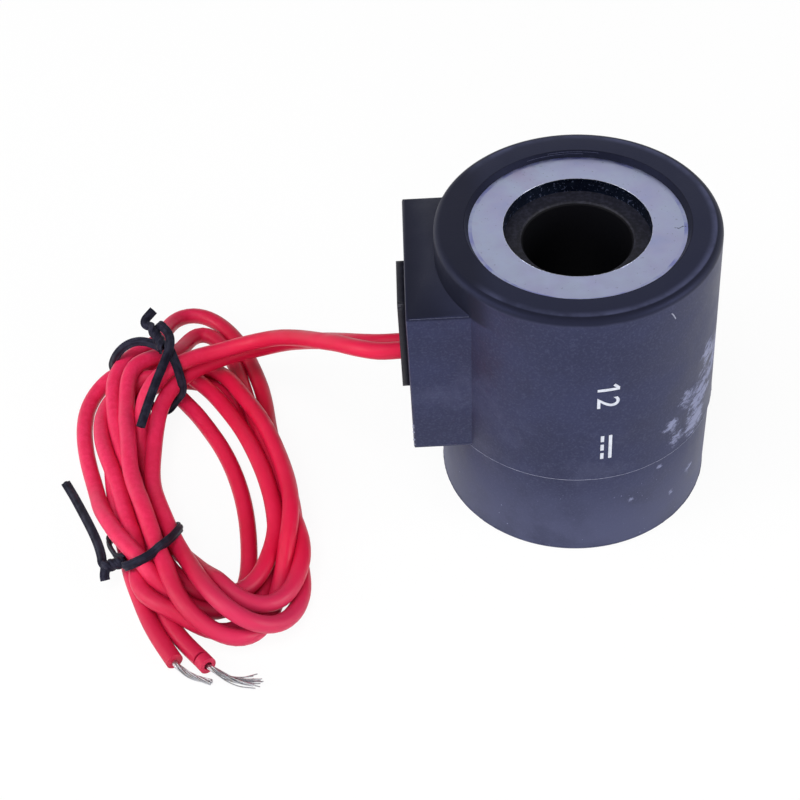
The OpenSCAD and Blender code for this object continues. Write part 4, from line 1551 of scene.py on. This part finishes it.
@dataclass
class FineTraces:
    """Flash where the mouldings meet, turning marks and a scratch, and painted highlights along edges of the
    mouldings and the washer's hole.
    """

    line_sides: int = 5
    bead_low: Point = (0.4, 0.4, 0.4)
    bead_high: Point = (1.5, 1.5, 1.1)
    on_steel: tuple[Trace, ...] = (Trace.HOLE_HIGHLIGHT, Trace.SCRATCH)

    def tree(self, finish: Material) -> Inputs:
        """Builds the tree that lays a hairline and torn beads along a line.

        Args:
            finish: the hairline's finish.

        Returns:
            The tree with its named inputs.
        """
        trace = Inputs("fine_trace", HAIRLINES[0].sizes())
        given = trace.given
        even = trace.add("GeometryNodeResampleCurve", {
            "Curve": given["Geometry"], "Count": given["Count"]}).outputs[0]
        reach = trace.add("ShaderNodeCombineXYZ", {axis: given["Waver"] for axis in range(3)}).outputs[0]
        back = trace.add("ShaderNodeVectorMath", {0: reach, "Scale": -1.0}, operation="SCALE").outputs[0]
        waver = trace.add("FunctionNodeRandomValue", {0: back, 1: reach, "Seed": given["Seed"]},
                          data_type="FLOAT_VECTOR").outputs[0]
        line = trace.add("GeometryNodeSetPosition", {"Geometry": even, "Offset": waver}).outputs[0]
        ring = trace.add("GeometryNodeCurvePrimitiveCircle", {
            "Resolution": self.line_sides, "Radius": given["Line Radius"]}).outputs["Curve"]
        hair = trace.add("GeometryNodeCurveToMesh", {
            "Curve": line, "Profile Curve": ring, "Fill Caps": True}).outputs[0]
        chosen = trace.add("FunctionNodeRandomValue", {
            "Probability": given["Bead Share"], "Seed": given["Seed"]}, data_type="BOOLEAN").outputs[3]
        scale = trace.add("FunctionNodeRandomValue", {
            0: self.bead_low, 1: self.bead_high, "Seed": given["Seed"]},
            data_type="FLOAT_VECTOR").outputs[0]
        bead = trace.add("GeometryNodeMeshIcoSphere", {
            "Radius": given["Bead Size"], "Subdivisions": 1}).outputs[0]
        beads = trace.add("GeometryNodeInstanceOnPoints", {
            "Points": even, "Selection": chosen, "Instance": bead, "Scale": scale}).outputs[0]
        both = trace.add("GeometryNodeJoinGeometry")
        for part in (hair, beads):
            trace.tree.links.new(part, both.inputs[0])
        trace.close(both.outputs[0], finish)
        return trace

    def build(self) -> None:
        """Lays every hairline along its points and adds it as a piece."""
        trees = {trace: self.tree(trace.value.make()) for trace in Trace}
        for hairline in HAIRLINES:
            mesh = trees[hairline.trace].mesh_on(hairline.name, hairline.line * MM, hairline.sizes())
            slot = "zinc_plated_steel" if hairline.trace in self.on_steel else "moulded_plastic"
            add_piece(hairline.name, mesh, slot)


@dataclass(frozen=True)
class Softbox:
    """One square softbox: its place, what it is aimed at and its size in metres, its power in watts.

    One that isn't mirrored lights the coil but leaves no picture of itself in glossy skins.
    """

    name: str
    place: Point
    target: Point
    size: float
    watts: float
    mirrored: bool = True

    def hang(self) -> None:
        """Puts the softbox into the scene."""
        lamp = bpy.data.lights.new(self.name, "AREA")
        lamp.size = self.size
        lamp.energy = self.watts
        box = bpy.data.objects.new(self.name, lamp)
        box.visible_glossy = self.mirrored
        box.location = self.place
        box.rotation_euler = (Vector(self.target) - Vector(self.place)).to_track_quat("-Z", "Y").to_euler()
        bpy.context.scene.collection.objects.link(box)


@dataclass
class Studio:
    """Camera, light and floor: the photograph's view, a pale floor and soft light from the front."""

    eye: Point = (-20.7, -198.3, 219.9)
    azimuth: float = 0.0328
    elevation: float = 0.8046
    roll: float = -0.0734
    focal_px: float = 1805.1
    off_centre_px: float = 1.58
    frame_px: float = 800.0
    sensor_mm: float = 36.0
    nearest: float = 0.01
    softboxes: tuple[Softbox, ...] = (
        Softbox("top_softbox", (-0.25, -0.25, 0.85), (-0.03, 0.0, 0.02), 0.6, 4.9, False),
        Softbox("front_softbox", (-0.1, -0.85, 0.4), (-0.02, 0.0, 0.02), 0.6, 3.8, False),
        Softbox("left_softbox", (-0.7, -0.2, 0.35), (-0.03, 0.0, 0.02), 0.45, 2.3),
        Softbox("right_softbox", (0.7, -0.3, 0.3), (0.0, 0.0, 0.02), 0.4, 2.9))
    dome_heights: Span = (0.15, 0.8)
    dome_levels: Span = (1.0, 0.3)
    dome_light: float = 0.3
    paper: str = "#fafafa"
    paper_glow: float = 0.93
    floor_reach: float = 4.0

    def place_camera(self) -> None:
        """Sets up the camera at the photograph's viewing angle, with its slight roll and no lens shift."""
        back = np.array([math.sin(self.azimuth) * math.cos(self.elevation),
                         -math.cos(self.azimuth) * math.cos(self.elevation), math.sin(self.elevation)])
        right = unit(np.cross(-back, [0.0, 0.0, 1.0]))
        up = np.cross(right, -back)
        right, up = (right * math.cos(self.roll) + up * math.sin(self.roll),
                     up * math.cos(self.roll) - right * math.sin(self.roll))
        back = unit(back + right * self.off_centre_px / self.focal_px)
        right = unit(right - back * (right @ back))
        up = np.cross(back, right)
        lens = bpy.data.cameras.new("camera")
        lens.sensor_width = self.sensor_mm
        lens.lens = self.focal_px / self.frame_px * self.sensor_mm
        lens.clip_start = self.nearest
        camera = bpy.data.objects.new("camera", lens)
        turned = np.eye(4)
        turned[:3, :3] = np.stack([right, up, back], axis=1)
        turned[:3, 3] = np.asarray(self.eye) * MM
        camera.matrix_world = Matrix(turned.tolist())
        bpy.context.scene.collection.objects.link(camera)
        bpy.context.scene.camera = camera

    def seen_white(self, tree: NodeTree) -> NodeSocket:
        """Marks the rays that should meet the white background.

        Args:
            tree: the tree of the world or of the floor's material.

        Returns:
            A mask that is 1 for camera, glossy and transmission rays.
        """
        rays = add_node(tree, "ShaderNodeLightPath").outputs
        both = add_node(tree, "ShaderNodeMath", {0: rays["Is Camera Ray"], 1: rays["Is Glossy Ray"]},
                        operation="MAXIMUM").outputs[0]
        return add_node(tree, "ShaderNodeMath", {0: both, 1: rays["Is Transmission Ray"]},
                        operation="MAXIMUM").outputs[0]

    def build(self) -> None:
        """Sets up the view, the lamps, the world and the floor."""
        bpy.context.scene.view_settings.view_transform = "Standard"
        self.place_camera()
        for softbox in self.softboxes:
            softbox.hang()
        self.add_dome()
        self.add_floor()

    def add_dome(self) -> None:
        """Sets up the white world: dimmer overhead, and weaker as a light than it looks."""
        world = bpy.data.worlds.new("white_studio")
        world.use_nodes = True
        tree = world.node_tree
        way = add_node(tree, "ShaderNodeTexCoord").outputs["Generated"]
        height = add_node(tree, "ShaderNodeSeparateXYZ", {0: way}).outputs["Z"]
        dome = add_node(tree, "ShaderNodeMapRange", {
            "Value": height, "From Min": self.dome_heights[0], "From Max": self.dome_heights[1],
            "To Min": self.dome_levels[0], "To Max": self.dome_levels[1]}).outputs["Result"]
        lit = add_node(tree, "ShaderNodeMapRange", {
            "Value": self.seen_white(tree), "To Min": self.dome_light, "To Max": 1.0}).outputs["Result"]
        strength = add_node(tree, "ShaderNodeMath", {0: dome, 1: lit}, operation="MULTIPLY").outputs[0]
        tree.links.new(strength, tree.nodes["Background"].inputs["Strength"])
        tree.nodes["Background"].inputs["Color"].default_value = linear("#ffffff")
        bpy.context.scene.world = world

    def add_floor(self) -> None:
        """Lays the pale floor, which shows white to the camera and keeps the object's shadow."""
        mesh = bpy.data.meshes.new("floor")
        reach = self.floor_reach
        corners = [(-reach, -reach, 0), (reach, -reach, 0), (reach, reach, 0), (-reach, reach, 0)]
        mesh.from_pydata(corners, [], [(0, 1, 2, 3)])
        material = bpy.data.materials.new("paper_white_matt")
        material.use_nodes = True
        tree = material.node_tree
        paper = add_node(tree, "ShaderNodeBsdfDiffuse", {"Color": linear(self.paper)}).outputs[0]
        glow = add_node(tree, "ShaderNodeEmission", {"Color": linear("#ffffff")}).outputs[0]
        share = add_node(tree, "ShaderNodeMath", {0: self.seen_white(tree), 1: self.paper_glow},
                         operation="MULTIPLY").outputs[0]
        mixed = add_node(tree, "ShaderNodeMixShader", {0: share, 1: paper, 2: glow}).outputs[0]
        tree.links.new(mixed, tree.nodes["Material Output"].inputs["Surface"])
        mesh.materials.append(material)
        floor = bpy.data.objects.new("floor", mesh)
        bpy.context.scene.collection.objects.link(floor)


@dataclass
class CoilBody:
    """The moulded shells with the steel, the bobbin and the lead pad that show in them."""

    scuffs: tuple[Spot, ...] = (
        ((18.9, -9.6, 31.0), 5.0), ((17.7, -12.0, 24.1), 6.0), ((18.7, -10.2, 25.6), 6.5),
        ((17.2, -12.6, 20.0), 5.5), ((15.2, -14.9, 26.5), 3.3), ((13.0, -16.9, 22.6), 2.7),
        ((13.8, -16.2, 19.8), 3.2), ((20.3, -6.5, 28.0), 7.0), ((11.4, -17.6, 15.0), 1.0),
        ((13.9, -15.7, 6.8), 1.1), ((7.0, -19.7, 10.2), 1.0), ((16.6, -12.7, 8.5), 2.0))
    pad: PlainFinish = PlainFinish("rubber_black_pad", "#15151d", "#22222d", 0.0, 0.55, 0.6)

    def build(self) -> None:
        """Copies the shown CAD pieces smoothly and gives each its finish."""
        nylon = MouldedNylon(scuffs=self.scuffs).make()
        smooth_copy("housing", "housing_shell", nylon, "moulded_plastic")
        smooth_copy("base_shell", "base_shell_moulding", nylon, "moulded_plastic")
        zinc = ZincPlate().make()
        smooth_copy("top_flux_washer", "top_washer", zinc, "zinc_plated_steel")
        smooth_copy("bottom_flux_washer", "bottom_washer", zinc, "zinc_plated_steel")
        smooth_copy("bobbin", "bobbin_moulding", BobbinNylon().make(), "bobbin_plastic")
        smooth_copy("lead_grommet", "lead_pad", self.pad.make(), "grommet_plastic")


@dataclass
class Internals:
    """What the mouldings hide: winding, wrap, splices and sleeve, shown when the part is opened up."""

    finishes: tuple[tuple[PlainFinish, tuple[str, ...]], ...] = (
        (PlainFinish("copper_enamelled_wire", "#9c4a22", "#b8642f", 1.0, 0.3, 0.3),
         ("winding", "winding_start_wire", "winding_finish_wire")),
        (PlainFinish("polyester_tape", "#c9a23c", "#d8b455", 0.0, 0.3, 2.0), ("winding_wrap",)),
        (PlainFinish("brass_tinned_crimp", "#b9b8b4", "#a5a49f", 1.0, 0.35, 0.4),
         ("crimp_splice_a", "crimp_splice_b")),
        (PlainFinish("polyolefin_shrink_sleeve", "#1a1a1d", "#26262a", 0.0, 0.5, 0.5),
         ("splice_sleeve_a", "splice_sleeve_b")),
        (PlainFinish("steel_mild_rolled", "#7d7f84", "#6a6c72", 1.0, 0.4, 0.8), ("flux_sleeve",)),
    )

    def build(self) -> None:
        """Gives each hidden CAD node its finish."""
        for finish, nodes in self.finishes:
            material = finish.make()
            for node in nodes:
                frame["nodes"][node].material_slots[0].material = material


def main() -> None:
    """Builds the coil's sub-assemblies in order, and the studio round them."""
    logging.basicConfig(level=logging.INFO, format="%(name)s %(message)s")
    Studio().build()
    CoilBody().build()
    Internals().build()
    leads = LeadPair()
    leads.settle()
    insulation = RedPvc().make()
    ends = StrippedEnd().build(TinnedCopper().make())
    ends[Lead.B].append(smooth_copy("insulation_slug", "slipped_insulation", insulation, "lead_insulation"))
    leads.build(insulation, ends)
    strands = np.vstack(list(leads.lines.values()))
    vinyl = TieVinyl().make()
    for tie in (UPPER_TIE, LOWER_TIE):
        tie.build(vinyl, strands)
    RatingMark().build()
    FineTraces().build()


if __name__ == "__main__":
    main()
